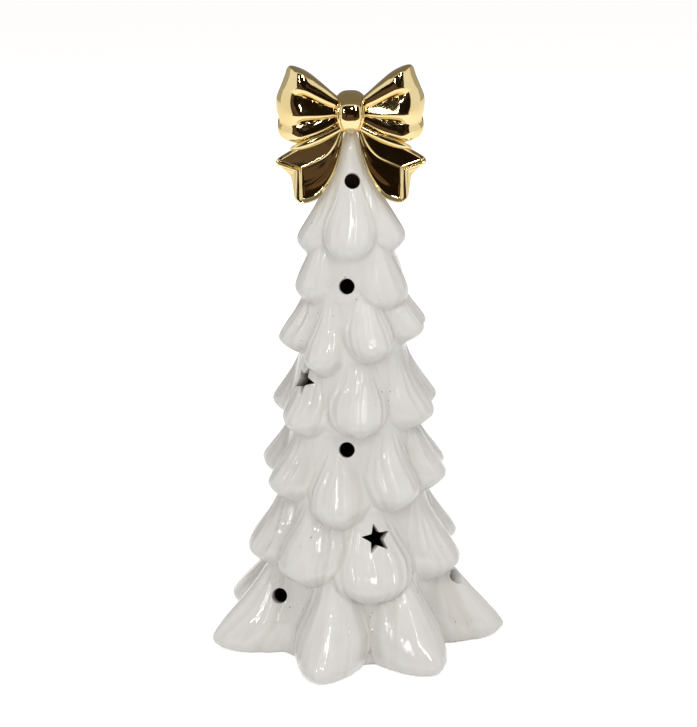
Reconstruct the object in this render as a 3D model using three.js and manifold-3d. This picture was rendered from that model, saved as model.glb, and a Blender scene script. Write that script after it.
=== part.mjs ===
// A glazed ceramic Christmas tree with a gilded bow on its tip, lit from inside by a battery
// light that plugs into its base. Millimetres, +Z up, the table at Z = 0, the front facing -Y.
// Azimuths are in degrees, 0 at the front and growing towards +X.
import * as THREE from "three";
import { mergeVertices } from "three/addons/utils/BufferGeometryUtils.js";
import Module from "manifold-3d";

const wasm = await Module();
wasm.setup();

// Driving sizes of the cast tree
const tipHeight = 246; // the tree's own point, inside the bow
const footRadius = 41; // between two boughs of the lowest tier
const shoulderShare = 0.76; // of the tip's height, where the trunk's even taper turns into the point
const shoulderSlimness = 0.439; // the trunk's radius there, as a share of the foot's
const tipFullness = 0.85; // below 1 the pointed top bulges a little
const wall = 3.8; // slip-cast wall, the same everywhere
const hollowLeast = 0.8; // the hollow's radius at its top
const facetTolerance = 0.35; // facets smaller than this are merged into their neighbours

// Tiers of drooping boughs, from the top down. Heights are shares of the tip's height: low is a
// tier's lowest point, sway how much higher its side boughs start, length a bough's height and
// belly the height of its outermost point above its lowest. Breadths are shares of the foot's
// radius: reach is the tier's outermost radius, halfWidth half a bough's breadth, and skirt the
// part of its swell that runs all round. slope tells how hollow its upper side is, and keel how
// round its back is across. Each bough has its azimuth, how far it hangs lower and its breadth.
const tiers = [
  {
    low: 0.75, sway: 0.001, length: 0.191, belly: 0.037, slope: 2.2,
    reach: 0.617, halfWidth: 0.415, skirt: 0.2, keel: 2,
    boughs: [
      [-3, 0, 1], [69, -0.003, 0.95], [141, 0.002, 0.9], [-147, -0.002, 0.95], [-75, 0.002, 0.9],
    ],
  },
  {
    low: 0.663, sway: 0, length: 0.171, belly: 0.037, slope: 2.2,
    reach: 0.707, halfWidth: 0.378, skirt: 0.25, keel: 2,
    boughs: [
      [-58, 0, 1], [50, 0.012, 1.3], [125, -0.003, 1], [180, 0.002, 1], [-128, -0.002, 1.05],
    ],
  },
  {
    low: 0.545, sway: 0.009, length: 0.171, belly: 0.037, slope: 2.3,
    reach: 0.866, halfWidth: 0.354, skirt: 0.25, keel: 2,
    boughs: [
      [-28, 0.01, 1], [19, 0, 1.1], [64, -0.022, 1], [109, -0.025, 1], [154, 0.004, 1.05],
      [-161, -0.002, 1], [-115, -0.014, 1.05], [-70, -0.014, 1],
    ],
  },
  {
    low: 0.423, sway: -0.004, length: 0.187, belly: 0.041, slope: 2.3,
    reach: 0.988, halfWidth: 0.439, skirt: 0.25, keel: 2,
    boughs: [
      [4, -0.008, 1.08], [62, -0.006, 1.15], [108, -0.012, 1], [156, 0.004, 1], [-156, -0.002, 1],
      [-112, 0, 1.05], [-48, 0, 1],
    ],
  },
  {
    low: 0.264, sway: 0.016, length: 0.191, belly: 0.045, slope: 2.3,
    reach: 1.098, halfWidth: 0.415, skirt: 0.25, keel: 2,
    boughs: [
      [-11, 0.01, 1.12], [33, 0, 1.1], [70, 0, 1.05], [110, -0.004, 1], [150, 0.004, 1],
      [-170, -0.003, 1], [-140, 0, 1.05], [-108, 0, 1], [-58, -0.008, 1],
    ],
  },
  {
    low: 0.1, sway: 0.018, length: 0.22, belly: 0.049, slope: 2.2,
    reach: 1.268, halfWidth: 0.488, skirt: 0.25, keel: 2,
    boughs: [
      [12, -0.002, 1.42], [57, 0, 1.1], [93, 0, 1], [132, -0.004, 1], [171, 0.004, 1.04],
      [-150, -0.003, 1], [-110, 0, 1], [-72, -0.014, 1.05], [-33, -0.02, 1.25],
    ],
  },
  {
    low: -0.037, sway: 0, length: 0.26, belly: 0.061, slope: 1.7,
    reach: 1.73, halfWidth: 0.732, skirt: 0.12, keel: 1.5,
    boughs: [
      [-15, 0, 1], [32, 0, 1], [83, 0, 1], [135, 0, 1], [-174, 0, 1], [-123, 0, 1], [-71, 0, 1],
    ],
  },
];
const boughWaist = 0.24; // a bough's breadth at its root, as a share of its widest
const boughWidest = 0.4; // where a bough is widest, as a share of its length from the low end
const boughRounding = 0.12; // how softly a bough's outermost point turns into its upper side
const sideSink = 1; // a bough's side edges lie this deep in the trunk
const boughFacets = 6; // facets across a bough's back
const skirtLift = 0.01; // a skirt starts this much higher than its boughs, as a share of tipHeight

// Light holes and stars cut through the wall, at heights that are shares of the tip's height.
// aim is the azimuth that a cutter points in, where it isn't square to the wall.
const lightHoleRadius = 3.5;
const starRadius = 7.9; // to the points
const starInnerShare = 0.44; // the inner corners, as a share of that
const starPoints = 5;
const cutterRise = 16; // the cutters point this many degrees above level
const cutterReach = 12; // and reach this far out of the skin
const lightHoles = [
  { azimuth: 3, height: 0.894 },
  { azimuth: -5, height: 0.709 },
  { azimuth: 146, height: 0.709 },
  { azimuth: -6.5, height: 0.407 },
  { azimuth: 172, height: 0.411 },
  { azimuth: -55, height: 0.111, aim: -20 },
  { azimuth: 82, height: 0.122, aim: 64 },
];
const lightStars = [
  { azimuth: 15, height: 0.244, turn: 6 },
  { azimuth: -50, height: 0.528, aim: -38, turn: -20 },
  { azimuth: 134, height: 0.528, turn: 10 },
  { azimuth: -168, height: 0.248, turn: -8 },
];

// The foot
const footRecessDepth = 5.5; // hollow under the base that the light's flange sits in
const footRecessRoom = 3; // free room round the flange in it
const basePlate = 4; // ceramic above that hollow, with the light's opening in it

// The bow, from its knot's middle: x to the side, up, and forward of the tree's axis
const knotLift = 3; // the knot's middle stands this far over the tree's tip
const knotHalfWidth = 7.8;
const knotAbove = 9.7;
const knotBelow = 9.4;
const knotDepth = 12.7; // its front stands this far forward of the axis
const knotBack = 8;
const loopRoot = 5.5; // where the loops' inner ends lie, inside the knot
const loopDepth = 9; // half the loops' thickness at their fullest
const loopForward = 2.5; // their middle plane lies this far forward of the axis
const loopBend = 0.62; // share of a loop's length where its front turns to the side
const foldDepth = 0.42; // how far the folds dip, as a share of the thickness
// A loop's outline: at shares of its length how far it reaches above and below the knot's middle,
// and at shares of its height from the lower edge how far out its end lies
const loopAbove = [[0, 7.6], [0.08, 9], [0.35, 14.6], [0.6, 19.2], [0.92, 22.9], [1, 22.6]];
const loopBelow = [[0, 5.2], [0.07, 6.6], [0.3, 10], [0.63, 12.9], [0.8, 13.2], [0.95, 12.6], [1, 11.4]];
const loopEnd = [
  [0, 30.6], [0.04, 32.4], [0.13, 32.7], [0.23, 32], [0.38, 33], [0.57, 33.2], [0.76, 31.6], [1, 28.6],
];
// The folds' edges at the knot and at the loop's end, as shares of its height
const lowFold = [0.36, 0.235];
const highFold = [0.62, 0.7];
const tailThickness = 4.4;
const tailDish = 1.7; // how far the two panels lie below the rims
const tailInner = [[3, -6, 9.5], [5.3, -19, 10.5], [9.3, -29.5, 11.5], [15.5, -37.5, 12.2], [23.2, -40.6, 12]];
const tailMiddle = [[3.8, -5.5, 9.8], [6.8, -14, 10.2], [11, -20.5, 10], [18, -24.7, 9.6], [25.6, -28, 9]];
const tailOuter = [[5, -3, 8.5], [14.7, -10.4, 7.5], [21.5, -13.4, 7], [29, -17.2, 6.2], [34.2, -20.3, 5.5]];
const rollPath = [[4, -5.5, 7.5], [13, -9.6, 7.6], [21, -12.9, 6.6], [27.6, -15.6, 5]];
const rollRadius = [1.3, 2.2]; // the curled edge of ribbon under a loop, at the knot and at its end

// Clearances
const castGap = 0.3; // between the bow and the tree it is glued on
const fitGap = 0.2; // between moulded plastic parts
const slideGap = 0.3; // round the switch's thumb piece and its stem
const screwGap = 0.15;

// The battery light
const flangeLap = 4.4; // the flange stands this far out of the housing
const flangeThickness = 1.9;
const collarFlange = 0.6; // the silicone collar's flat part, between flange and ceramic
const collarSleeve = 4; // and the height of its sleeve in the opening
const sleeveWall = 0.85;
const sleeveGap = 0.35; // between the sleeve and the ceramic
const housingRadius = 19.6;
const housingWall = 1.6;
const housingHeight = 17.6; // from the flange's underside to the cover
const floorThickness = 3;
const cellRadius = 5.8; // three button cells, 11.6 by 5.4 mm, end to end
const cellThickness = 5.4;
const cellCount = 3;
const cellCapRadius = 4.7;
const cellCapHeight = 0.4;
const cellRow = 6.8; // the cells' axis, behind the housing's own
const cellGap = 0.3;
const trayWall = 1.2;
const springLength = 2.6;
const springWire = 0.28;
const springTurns = 3;
const springRadii = [3.4, 1.8]; // of its wide and its narrow end
const contactThickness = 0.4;
const contactWidth = 2; // of the leg that runs to the board
const contactArmDrop = 2.6; // room in the tray's wall for the contacts' arms
const doorThickness = 1.8;
const doorLap = 1.9; // the door laps the battery opening by this much
const tongueLength = 1.3;
const tongueThickness = 0.5;
const tongueWidth = 3;
const doorScrewPlace = 4.8; // from the end of the cells' tray to the door's screw
const doorScrewLength = 4;
const doorScrewGap = 0.35; // the screw leaves its hole at a slant when the door swings
const doorScrewSink = 0.1; // its head lies this deep in the door's face
const doorBossHeight = 4; // the stand that the door's screw turns into
const screwRadius = 0.9;
const screwHeadRadius = 1.8;
const screwHeadHeight = 1.1;
const screwLength = 6;
const bossWall = 1.4;
const bossInset = 2.6; // the cover's screws, in from the housing's bore
const bossAzimuths = [102, -102];
const boardThickness = 1.2;
const boardEdge = -1.2; // the board's straight edge, just in front of the cells' tray
const postPlace = [6.2, -14]; // the two posts that hold the board, to both sides
const postRadius = 1.5;
const postPinRadius = 0.7; // a pin on each post reaches through the board
const postPinProud = 0.8;
const legInset = 0.5; // the contacts' legs stand this far in from the board's edge
const resistorPlace = [-8, -9];
const resistorSize = [3.2, 1.6, 0.6];
const chipPlace = [8.5, -8];
const chipRadius = 2.7;
const chipHeight = 1.2;
const switchLength = 8.6;
const switchWidth = 4;
const switchHeight = 3.4;
const switchPlace = -9; // the switch's middle
const switchRoof = 1; // solid above its cavity
const switchTravel = 2.2;
const thumbLength = 4.6;
const thumbWidth = 3;
const thumbProud = 1.2; // the thumb piece stands this far out of the flange
const thumbRecess = 1.2;
const grooveDepth = 0.35; // three grooves across its face
const grooveWidth = 0.5;
const groovePitch = 1.2;
const stemSide = 1.8;
const ledPlace = -5; // in front of the housing's middle
const ledRadius = 2.5;
const ledFlangeRadius = 2.9;
const ledFlange = 1;
const ledHeight = 8.6;
const ledLeadSpacing = 2.54;
const ledLeadSide = 0.5;
const ledLeadEnd = 0.8; // the leads' length below the board
const coverThickness = 1.6;
const coverLip = 1.5;
const collarHeight = 2.4;
const collarWall = 1.9;
const sink = 0.5; // pieces moulded in one reach this far into each other

// Heights and places that follow from them
const degrees = Math.PI / 180;
const shoulderHeight = tipHeight * shoulderShare;
const shoulderRadius = footRadius * shoulderSlimness;
const knotHeight = tipHeight + knotLift;
const flangeRadius = housingRadius + flangeLap;
const footRecessRadius = flangeRadius + footRecessRoom;
const hollowTop = tipHeight - 4.6 * wall;
const openingRadius = housingRadius + sleeveWall + sleeveGap;
const plateTop = footRecessDepth + basePlate;
const flangeTop = footRecessDepth - collarFlange;
const flangeBottom = flangeTop - flangeThickness;
const floorTop = flangeBottom + floorThickness;
const housingTop = flangeBottom + housingHeight;
const coverTop = housingTop + coverThickness;
const boardBottom = floorTop + switchHeight + fitGap;
const boardTop = boardBottom + boardThickness;
const doorTop = flangeBottom + doorThickness;
const cellAxis = doorTop + fitGap + cellRadius;
const housingBore = housingRadius - housingWall;
const cellStack = cellCount * cellThickness;
const trayHalf = (cellStack + springLength + 2 * contactThickness) / 2 + fitGap;
const trayBack = cellRow + cellRadius + cellGap;
const trayFront = cellRow - cellRadius - cellGap;
const ledBase = housingTop - fitGap - ledFlange;
const bossRadius = screwRadius + bossWall;
const bossPlace = housingBore - bossInset;

const roundSides = 36; // facets round the large turned pieces

// Small helpers
const lerp = THREE.MathUtils.lerp;
const clamp = THREE.MathUtils.clamp;
const v3 = (x, y, z) => new THREE.Vector3(x, y, z);

function onTree(azimuth, radius, height) {
  const a = azimuth * degrees;
  return v3(radius * Math.sin(a), -radius * Math.cos(a), height);
}

function toSolid(geometry) {
  const bare = geometry.clone();
  for (const name of Object.keys(bare.attributes)) {
    if (name !== "position") bare.deleteAttribute(name);
  }
  const merged = mergeVertices(bare, 1e-4);
  return new wasm.Manifold(
    new wasm.Mesh({
      numProp: 3,
      vertProperties: new Float32Array(merged.attributes.position.array),
      triVerts: new Uint32Array(merged.index.array),
    }),
  );
}

function toGeometry(solid) {
  const mesh = solid.getMesh();
  const geometry = new THREE.BufferGeometry();
  geometry.setAttribute("position", new THREE.BufferAttribute(new Float32Array(mesh.vertProperties), 3));
  geometry.setIndex(new THREE.BufferAttribute(new Uint32Array(mesh.triVerts), 1));
  return geometry;
}

const joined = (solids) => wasm.Manifold.union(solids);
const cut = (solid, cutters) => wasm.Manifold.difference([solid, ...cutters]);

// A closed skin over rings of points, each ring running anticlockwise seen from the far end.
// The first and last rings are closed by a fan to their middle.
function loft(rings) {
  const around = rings[0].length;
  const points = rings.flat();
  const faces = [];
  for (let i = 0; i < rings.length - 1; i++) {
    for (let j = 0; j < around; j++) {
      const a = i * around + j;
      const b = i * around + ((j + 1) % around);
      faces.push(a, b, b + around, a, b + around, a + around);
    }
  }
  const middle = (ring) => ring.reduce((sum, p) => sum.add(p), v3(0, 0, 0)).divideScalar(around);
  const first = points.push(middle(rings[0])) - 1;
  const last = points.push(middle(rings[rings.length - 1])) - 1;
  const lastRing = (rings.length - 1) * around;
  for (let j = 0; j < around; j++) {
    const next = (j + 1) % around;
    faces.push(first, next, j, last, lastRing + j, lastRing + next);
  }
  const geometry = new THREE.BufferGeometry().setFromPoints(points);
  geometry.setIndex(faces);
  return toSolid(geometry);
}

// A turned piece about +Z from (radius, height) pairs that start and end on the axis or close.
function turned(profile, sides = 48) {
  const points = profile.map(([radius, height]) => new THREE.Vector2(radius, height));
  return toSolid(new THREE.LatheGeometry(points, sides).rotateX(Math.PI / 2));
}

function disc(radius, low, high, sides = 48, x = 0, y = 0) {
  return turned([[0, low], [radius, low], [radius, high], [0, high]], sides).translate(x, y, 0);
}

function ring(outer, inner, low, high, sides = 48) {
  return turned([[inner, low], [outer, low], [outer, high], [inner, high], [inner, low]], sides);
}

function block(xLow, xHigh, yLow, yHigh, zLow, zHigh) {
  const geometry = new THREE.BoxGeometry(xHigh - xLow, yHigh - yLow, zHigh - zLow);
  return toSolid(geometry.translate((xLow + xHigh) / 2, (yLow + yHigh) / 2, (zLow + zHigh) / 2));
}

// A tube with a round section along a list of points
function wire(points, radius, sides) {
  const rings = points.map((point, i) => {
    const before = points[Math.max(i - 1, 0)];
    const after = points[Math.min(i + 1, points.length - 1)];
    const along = after.clone().sub(before).normalize();
    const side = v3(0.13, 0.37, 0.92).cross(along).normalize();
    const up = along.clone().cross(side);
    return Array.from({ length: sides }, (_, k) => {
      const a = (2 * Math.PI * k) / sides;
      const place = point.clone().addScaledVector(side, radius * Math.cos(a));
      return place.addScaledVector(up, radius * Math.sin(a));
    });
  });
  return loft(rings);
}

// The cast tree

function trunkRadius(height) {
  if (height <= shoulderHeight) return lerp(footRadius, shoulderRadius, height / shoulderHeight);
  const left = Math.max(0, (tipHeight - height) / (tipHeight - shoulderHeight));
  return shoulderRadius * left ** tipFullness;
}

// Every bough of every tier in millimetres, with its own low point
const boughs = tiers.flatMap((tier) =>
  tier.boughs.map(([azimuth, drop, breadth]) => {
    const turn = (azimuth - tier.boughs[0][0]) * degrees;
    return {
      azimuth,
      low: tipHeight * (tier.low - drop + tier.sway * (1 - Math.cos(2 * turn))),
      length: tipHeight * tier.length,
      belly: tipHeight * tier.belly,
      reach: footRadius * tier.reach,
      halfWidth: footRadius * tier.halfWidth * breadth,
      slope: tier.slope,
      keel: tier.keel,
    };
  }),
);

// How much of its full swell a bough or skirt has at a height: round below, hollow above
function swellShare({ low, length, belly, slope }, height) {
  const under = clamp((height - low) / belly, 0, 1);
  const over = clamp((height - low - belly) / (length - belly), 0, 1);
  const turned = (over * over) / (over + boughRounding);
  return (1 - (1 - under) ** 1.8) * (1 - turned) ** slope;
}

// Each tier's skirt, the part of its swell that runs all round
const skirts = tiers.map((tier) => {
  const low = tipHeight * (tier.low + tier.sway + skirtLift);
  const belly = tipHeight * tier.belly;
  const full = tier.skirt * (footRadius * tier.reach - trunkRadius(low + belly));
  return { low, belly, full, length: tipHeight * tier.length, slope: tier.slope };
});

// The trunk with its skirts
function coreRadius(height) {
  return trunkRadius(height) + Math.max(...skirts.map((skirt) => skirt.full * swellShare(skirt, height)));
}

// Half a bough's breadth at a height: a drop shape, narrow at its root and round at its low end
function boughBreadth(bough, height) {
  const along = (height - bough.low) / bough.length;
  const under = clamp(along / boughWidest, 0, 1);
  const over = clamp((along - boughWidest) / (1 - boughWidest), 0, 1);
  return bough.halfWidth * Math.sqrt(under * (2 - under)) * lerp(1, boughWaist, over);
}

// How far a bough's back stands out of the trunk at a height
function boughBack(bough, height) {
  return (bough.reach - trunkRadius(bough.low + bough.belly)) * swellShare(bough, height);
}

// Share of that across a bough, from its middle (0) to its side edge (1)
function acrossShare(bough, aside) {
  return Math.max(0, 1 - Math.abs(aside) ** bough.keel) ** (bough.keel === 2 ? 0.85 : 1.2);
}

// The radius at which a bough's breadth is measured round the trunk
const breadthRadius = (bough, height) => lerp(trunkRadius(height), bough.reach, 0.6);

function boughSwell(bough, azimuth, height) {
  if (height <= bough.low || height >= bough.low + bough.length) return 0;
  const away = THREE.MathUtils.euclideanModulo(azimuth - bough.azimuth + 180, 360) - 180;
  const aside = (away * degrees * breadthRadius(bough, height)) / boughBreadth(bough, height);
  return Math.abs(aside) < 1 ? boughBack(bough, height) * acrossShare(bough, aside) : 0;
}

function treeRadius(azimuth, height) {
  const swells = boughs.map((bough) => boughSwell(bough, azimuth, height));
  return Math.max(coreRadius(height), trunkRadius(height) + Math.max(...swells));
}

// One bough as a loft of level sections. Its inner side lies buried in the trunk. A margin makes
// it broader and further out, for cutting room into a neighbour.
function boughSolid(bough, margin) {
  const over = bough.length - bough.belly;
  const heights = [
    ...[0.05, 0.45, 1].map((share) => bough.low + bough.belly * share),
    ...[0.3, 0.8].map((share) => bough.low + bough.belly + over * share),
  ];
  const rings = heights.map((height) => {
    const breadth = boughBreadth(bough, height) + margin;
    const turnOf = (aside) => (aside * breadth) / breadthRadius(bough, height) / degrees;
    const section = [];
    for (let k = 0; k <= boughFacets; k++) {
      const aside = -Math.cos((Math.PI * k) / boughFacets);
      const out = lerp(-sideSink, boughBack(bough, height), acrossShare(bough, aside));
      const radius = trunkRadius(height) + out + margin;
      section.push(onTree(bough.azimuth + turnOf(aside), radius, height));
    }
    section.push(onTree(bough.azimuth, Math.max(trunkRadius(height) - wall, 0.4), height));
    return section;
  });
  return loft(rings);
}

// The outer skin: the trunk with its skirts and the given boughs, cut level at the table
function treeSkin(these, margin = 0) {
  const steps = skirts.flatMap(({ low, belly, length }) => [low, low + belly, low + (belly + length) / 2]);
  const point = [0.15, 0.35, 0.6, 0.8, 0.93, 1].map((share) => lerp(shoulderHeight, tipHeight - 0.5, share));
  const heights = [0, ...[...steps, ...point].filter((height) => height > 1).sort((a, b) => a - b)];
  const profile = heights.map((height) => [coreRadius(height) + margin, height]);
  const core = turned([[0, 0], ...profile, [0, tipHeight + margin]], 20);
  const skin = joined([core, ...these.map((bough) => boughSolid(bough, margin))]);
  return skin.trimByPlane([0, 0, 1], 0).simplify(facetTolerance);
}

// The hollow's radius: one wall in from the least radius of the skin about a point, so that the
// wall keeps its thickness between the hollow's own rows and columns too
function hollowRadius(azimuth, height, turn, rise) {
  const spread = [-0.6, -0.3, 0, 0.3, 0.6];
  const nearby = spread.flatMap((across) =>
    spread.map((up) => treeRadius(azimuth + across * turn, Math.min(height + up * rise, tipHeight))),
  );
  return Math.max(Math.min(...nearby) - wall, hollowLeast);
}

function treeHollow(columns, rows) {
  const turn = 360 / columns;
  const rise = (hollowTop - plateTop) / (rows - 1);
  const rings = Array.from({ length: rows }, (_, i) => {
    const height = plateTop + i * rise;
    return Array.from({ length: columns }, (_, j) =>
      onTree(j * turn, hollowRadius(j * turn, height, turn, rise), height),
    );
  });
  return loft(rings);
}

// A cutter's outline pushed through the wall at an azimuth and a share of the tip's height
function throughWall(outline, { azimuth, height, aim = azimuth, turn = 0 }) {
  const skin = treeRadius(azimuth, height * tipHeight);
  const inward = Math.min(5 * wall, skin * Math.cos(cutterRise * degrees));
  const options = { depth: inward + cutterReach, bevelEnabled: false, curveSegments: 5 };
  const cutter = new THREE.ExtrudeGeometry(outline, options);
  cutter.translate(0, 0, -inward);
  cutter.rotateZ(turn * degrees);
  cutter.rotateX((90 - cutterRise) * degrees);
  cutter.rotateZ(aim * degrees);
  const start = onTree(azimuth, skin, height * tipHeight);
  return toSolid(cutter.translate(start.x, start.y, start.z));
}

function starOutline() {
  const corners = [];
  for (let i = 0; i < starPoints * 2; i++) {
    const radius = i % 2 ? starRadius * starInnerShare : starRadius;
    const angle = Math.PI / 2 + (Math.PI * i) / starPoints;
    corners.push(new THREE.Vector2(radius * Math.cos(angle), radius * Math.sin(angle)));
  }
  return new THREE.Shape(corners);
}

function treeBody() {
  const round = new THREE.Shape().absarc(0, 0, lightHoleRadius, 0, 2 * Math.PI);
  return cut(treeSkin(boughs), [
    treeHollow(20, 21),
    disc(openingRadius, -1, plateTop + 1, roundSides),
    disc(footRecessRadius, -1, footRecessDepth, roundSides),
    ...lightHoles.map((hole) => throughWall(round, hole)),
    ...lightStars.map((star) => throughWall(starOutline(), star)),
  ]);
}

// The bow

// The value at a place in a list of [place, value] pairs
function readOff(pairs, place) {
  const next = Math.max(1, pairs.findIndex(([at]) => at >= place));
  const [low, high] = [pairs[next - 1], pairs[next]];
  return lerp(low[1], high[1], clamp((place - low[0]) / (high[0] - low[0]), 0, 1));
}

// A loop's relief within one fold, from its lower edge up: a rounded lip, then a falling panel
function foldRelief(within) {
  const lip = Math.sin((clamp(within / 0.36, 0, 1) * Math.PI) / 2) ** 0.8;
  const panel = 1 - 0.85 * clamp((within - 0.36) / 0.64, 0, 1) ** 1.25;
  return Math.min(lip, panel);
}

// One loop, side -1 for the left one, as a loft of upright sections from the knot outwards
function bowLoop(side) {
  const shares = [0, 0.12, 0.3, 0.48, 0.62, 0.76, 0.88, 0.96, 0.9993];
  const withins = [0, 0.14, 0.36, 0.985];
  const back = [0.85, 0.5, 0.15];
  const rings = shares.map((share) => {
    const above = readOff(loopAbove, share);
    const below = readOff(loopBelow, share);
    const bend = Math.max(0, (share - loopBend) / (1 - loopBend));
    const thick = loopDepth * lerp(0.5, 1, Math.min(1, share * 1.7)) * (1 - bend ** 1.5) ** (2 / 3);
    const inset = 2.2 * (1 - Math.sqrt(1 - share ** 6));
    const faded = lerp(1, 0.25, THREE.MathUtils.smoothstep(share, 0.58, 0.78));
    const dip = foldDepth * faded * Math.min(1, 0.45 + share * 1.2);
    const at = (height, forward) => {
      const up = -below + inset + (above + below - inset * 2.2) * height;
      const x = lerp(loopRoot, readOff(loopEnd, height), share);
      return v3(side * x, -(loopForward + forward), knotHeight + up);
    };
    const edges = [0, lerp(...lowFold, share), lerp(...highFold, share), 1];
    const front = [0, 1, 2].flatMap((fold) =>
      withins.map((within) => {
        const height = lerp(edges[fold], edges[fold + 1], within);
        const whole = Math.max(0, 1 - Math.abs(2 * height - 1) ** 3) ** (1 / 3);
        return at(height, thick * (whole * (1 - dip) + foldRelief(within) * Math.sqrt(whole) * dip));
      }),
    );
    const behind = back.map((height) => at(height, -0.8 * thick * Math.sqrt(1 - (2 * height - 1) ** 2)));
    const section = [...front, ...behind];
    return side > 0 ? section.reverse() : section;
  });
  return loft(rings);
}

// A power that keeps the sign, for rounded boxy forms
const signedPower = (value, power) => Math.sign(value) * Math.abs(value) ** power;

// The knot, a cushion over the loops' inner ends
function bowKnot() {
  const rings = [];
  const rows = 11;
  const around = 20;
  for (let i = 0; i < rows; i++) {
    const polar = lerp(-0.485, 0.485, i / (rows - 1)) * Math.PI;
    const up = signedPower(Math.sin(polar), 0.9) * (polar > 0 ? knotAbove : knotBelow);
    const bulge = Math.cos(polar) ** 0.72;
    const half = knotHalfWidth * bulge * (1 - 0.2 * Math.max(0, -Math.sin(polar)));
    const section = [];
    for (let k = 0; k < around; k++) {
      const angle = (2 * Math.PI * k) / around;
      const depth = Math.sin(angle) < 0 ? knotDepth - 1.3 * Math.max(0, Math.sin(polar)) : knotBack;
      const x = half * signedPower(Math.cos(angle), 0.7);
      section.push(v3(x, depth * bulge * signedPower(Math.sin(angle), 0.62), knotHeight + up));
    }
    rings.push(section);
  }
  return loft(rings);
}

// One tail: a ribbon of two dished panels between raised rims, with a fold that ends in the notch
function bowTail(side) {
  const curve = (points) =>
    new THREE.CatmullRomCurve3(points.map(([x, up, out]) => v3(side * x, -out, knotHeight + up)));
  const inner = curve(tailInner);
  const middle = curve(tailMiddle);
  const outer = curve(tailOuter);
  const across = [-1, -0.9, -0.8, -0.12, 0, 0.12, 0.8, 0.9, 1];
  const depths = [0.6, 0.15, 1, 0.95, 0.4, 0.95, 1, 0.15, 0.6];
  const shares = [0, 0.16, 0.34, 0.52, 0.7, 0.88, 1];
  const rings = shares.map((share) => {
    const a = inner.getPoint(share);
    const b = middle.getPoint(share);
    const c = outer.getPoint(share);
    const end = Math.max(0, (share - 0.9) / 0.1);
    const at = (place, depth) => {
      const point = place < 0 ? b.clone().lerp(a, -place) : b.clone().lerp(c, place);
      point.y += depth;
      return point;
    };
    const top = across.map((place, i) => at(place * (1 - 0.08 * end), lerp(tailDish * depths[i], 1, end)));
    const under = [0.97, 0.4, -0.4, -0.97].map((place) => at(place * (1 - 0.08 * end), tailThickness));
    const section = [...top, ...under];
    return side > 0 ? section.reverse() : section;
  });
  return loft(rings);
}

// The curled edge of ribbon between a loop and the tail under it
function bowRoll(side) {
  const curve = new THREE.CatmullRomCurve3(rollPath.map(([x, up, out]) => v3(side * x, -out, knotHeight + up)));
  const rings = [0, 0.3, 0.6, 0.85, 0.96, 1].map((share) => {
    const centre = curve.getPoint(share);
    const radius = lerp(...rollRadius, share) * Math.sqrt(Math.max(0.05, 1 - share ** 8));
    const section = Array.from({ length: 8 }, (_, k) => {
      const angle = (k * Math.PI) / 4;
      return centre.clone().add(v3(0, -radius * Math.sin(angle), radius * Math.cos(angle)));
    });
    return side < 0 ? section.reverse() : section;
  });
  return loft(rings);
}

function bow() {
  const halves = [-1, 1].flatMap((side) => [bowLoop(side), bowTail(side), bowRoll(side)]);
  const whole = joined([bowKnot(), ...halves]);
  const upperBoughs = boughs.filter((bough) => bough.low > knotHeight / 2);
  return cut(whole, [treeSkin(upperBoughs, castGap)]);
}

// The battery light

const bosses = bossAzimuths.map((azimuth) => onTree(azimuth, bossPlace, 0));
const doorScrewX = trayHalf + doorScrewPlace;
const doorEnd = trayHalf + doorLap; // the door's tongue edge is at -doorEnd
const doorFront = trayFront - doorLap;
const doorBack = trayBack + doorLap;

// The door's outline seen from above, with an ear round its screw
function doorOutline(margin) {
  const ear = screwHeadRadius + doorLap;
  const outline = new THREE.Shape();
  outline.moveTo(-doorEnd - margin, doorFront - margin);
  outline.lineTo(doorEnd + margin, doorFront - margin);
  outline.lineTo(doorEnd + margin, cellRow - ear - margin);
  outline.absarc(doorScrewX, cellRow, ear + margin, -Math.PI / 2, Math.PI / 2, false);
  outline.lineTo(doorEnd + margin, cellRow + ear + margin);
  outline.lineTo(doorEnd + margin, doorBack + margin);
  outline.lineTo(-doorEnd - margin, doorBack + margin);
  outline.closePath();
  return outline;
}

function prism(outline, low, high) {
  const options = { depth: high - low, bevelEnabled: false, curveSegments: 6 };
  return toSolid(new THREE.ExtrudeGeometry(outline, options).translate(0, 0, low));
}

// The door's two tongues, or with a margin the pockets they turn in
function tongues(margin) {
  return [-1, 1].map((side) => {
    const y = cellRow + side * tongueWidth * 1.2;
    const half = tongueWidth / 2 + margin;
    const sweep = Math.hypot(tongueLength, doorThickness);
    const top = margin ? flangeBottom + sweep + margin : doorTop;
    const inner = margin ? sweep + margin : 0;
    return block(-doorEnd - tongueLength - margin, -doorEnd + inner, y - half, y + half,
      doorTop - tongueThickness - margin, top);
  });
}

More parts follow.
